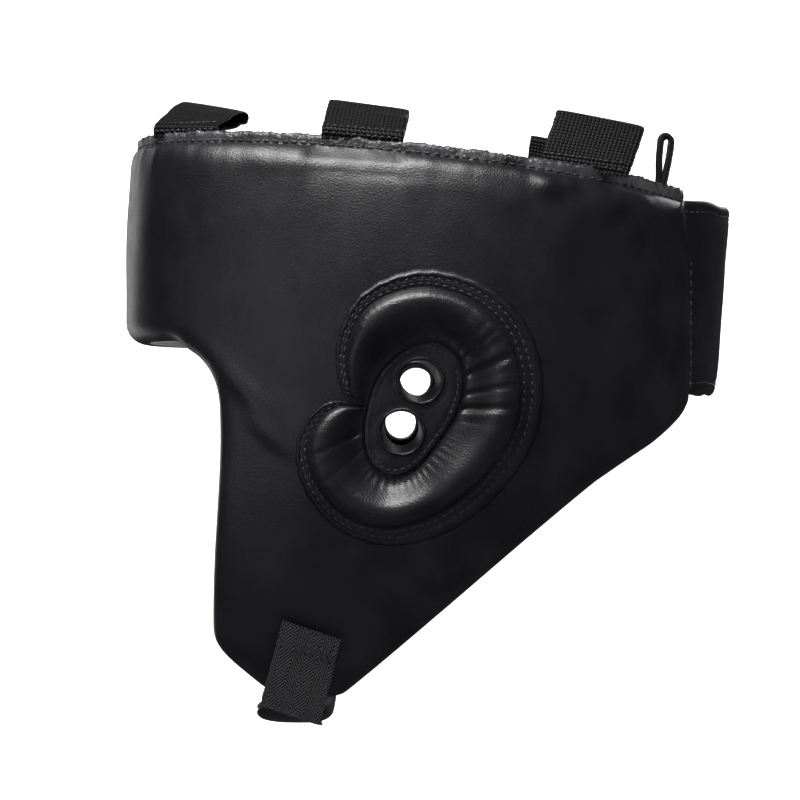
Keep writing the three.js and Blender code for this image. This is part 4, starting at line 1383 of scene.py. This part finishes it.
right_inside = chin_line(np.linspace(0.3, 0.97, 10))
right_cheek = cheek_points(np.linspace(RIGHT_FOOT, RIGHT_TOP, 18), 1, RIGHT_LIFT)
right_line = np.vstack([
    right_inside,
    bezier(right_inside[-1], (-42, 72.5, -118.8), (-42, 75.5, -118.0), right_cheek[0], 10),
    right_cheek[1:],
])
under_chin = right_line[:, 2] < -112
right_line[under_chin, 0] = np.clip(right_line[under_chin, 0], -43, -41)
right_across = np.tile([1.0, 0.0, -0.06], (len(right_line), 1))
webbing = ribbon("chin_strap_webbing", right_line, right_across, 24.6, 1.4,
                 twill_webbing, "chin_strap", wave=0.15, seed=73)
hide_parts("chin_webbing")
print("chin strap sewn")

# %% [markdown]
# The tab's top is doubled over in a short hem, held by two rows of slanted stitches. This small
# second layer keeps the strap from looking like a printed band.

# %% Hem and stitch the chin tab
hem_line = cheek_points(np.linspace(-85.4, -94.5, 10), -1, 2.4)
hem = ribbon("left_chin_tab_hem", hem_line, tab_across(len(hem_line)), 23.0, 1.2, twill_webbing,
             "guard", wave=0.1, seed=75)
offset = np.linspace(-10.8, 10.8, 20)
for row, z, slant in (("upper", -91.0, 0.9), ("lower", -93.2, -0.9)):
    line, out = ear_line(-1, tab_middle(z) + offset, z + TAB_TILT * offset, 3.1)
    stitch_row(f"left_tab_{row}_stitches", line, out, "guard",
               pitch=2.3, length=2.2, thick=0.6, slant=slant)
print("tab hem", len(hem.data.polygons), "faces")

# %% [markdown]
# ## The stage
# The guard hangs over a plain pale floor that curves up into a wall all round, like a white
# bowl. The bowl glows a little so that it is an even white from every side. Black leather would
# mirror that white and turn grey, so the bowl is hidden from glossy rays: the leather then
# reflects only the dim room and the softboxes, as it does when black cards are set up round it.

# %% Build the stage
FLOOR_Z, BOWL_RADIUS, BOWL_CURVE, WALL_TOP = -400.0, 2600.0, 700.0, 2400.0
quarter = np.linspace(0, math.pi / 2, 12)
profile = [(0.0, FLOOR_Z)]
profile += [(BOWL_RADIUS - BOWL_CURVE + BOWL_CURVE * math.sin(a), FLOOR_Z + BOWL_CURVE * (1 - math.cos(a)))
            for a in quarter]
profile += [(BOWL_RADIUS, WALL_TOP)]
spin = np.linspace(0, 2 * math.pi, 64, endpoint=False)
bowl_points = [(r * math.cos(a), r * math.sin(a), z) for r, z in profile for a in spin]

stage_white = plain_finish("stage_white", (0.8, 0.8, 0.8), 0.9, 30.0, 0.02)
glow = stage_white.node_tree.nodes["Principled BSDF"]
glow.inputs["Emission Color"].default_value = (1, 1, 1, 1)
glow.inputs["Emission Strength"].default_value = 0.8
mesh = bpy.data.meshes.new("floor")
mesh.from_pydata([tuple(c * MM for c in p) for p in bowl_points], [],
                 grid_faces(len(profile), len(spin), close_columns=True))
mesh.shade_smooth()
mesh.materials.append(stage_white)
floor = bpy.data.objects.new("floor", mesh)
floor.visible_glossy = False
bpy.context.scene.collection.objects.link(floor)
print(f"floor at {FLOOR_Z:.0f} mm")

# %% [markdown]
# ## The lights
# A softbox above and a little towards the camera puts a long highlight on the top shoulder and on
# the crowns of the ear guards. A weak one level with the guard, on the face side, lifts the cheek,
# a narrow strip beyond the face edges the forehead, and one behind lights the far side.
# The view transform is set to Standard so that the white stays white.

# %% Light the studio
def softbox(name, where, target, size, watts):
    data = bpy.data.lights.new(name, "AREA")
    data.shape = "RECTANGLE"
    data.size, data.size_y = size
    data.energy = watts
    light = bpy.data.objects.new(name, data)
    light.location = where
    light.rotation_euler = (Vector(target) - Vector(where)).to_track_quat("-Z", "Y").to_euler()
    light.visible_camera = False
    bpy.context.scene.collection.objects.link(light)


softbox("overhead", (-0.22, -0.38, 0.93), (-0.04, 0, 0), (0.7, 0.42), 22.0)
softbox("face_strip", (-0.8, 1.1, 0.1), (0, 0, 0), (0.3, 1.1), 2.6)
softbox("camera_side", (-0.9, -1.2, -0.02), (0, 0, -0.04), (0.9, 0.6), 1.7)
softbox("far_side", (0.6, 1.2, 0.7), (0, 0, 0), (0.9, 0.6), 8.0)

world = bpy.data.worlds.new("studio")
world.use_nodes = True
world.node_tree.nodes["Background"].inputs["Color"].default_value = (0.86, 0.88, 1.0, 1)
world.node_tree.nodes["Background"].inputs["Strength"].default_value = 0.055
bpy.context.scene.world = world
bpy.context.scene.view_settings.view_transform = "Standard"
print("studio lit")
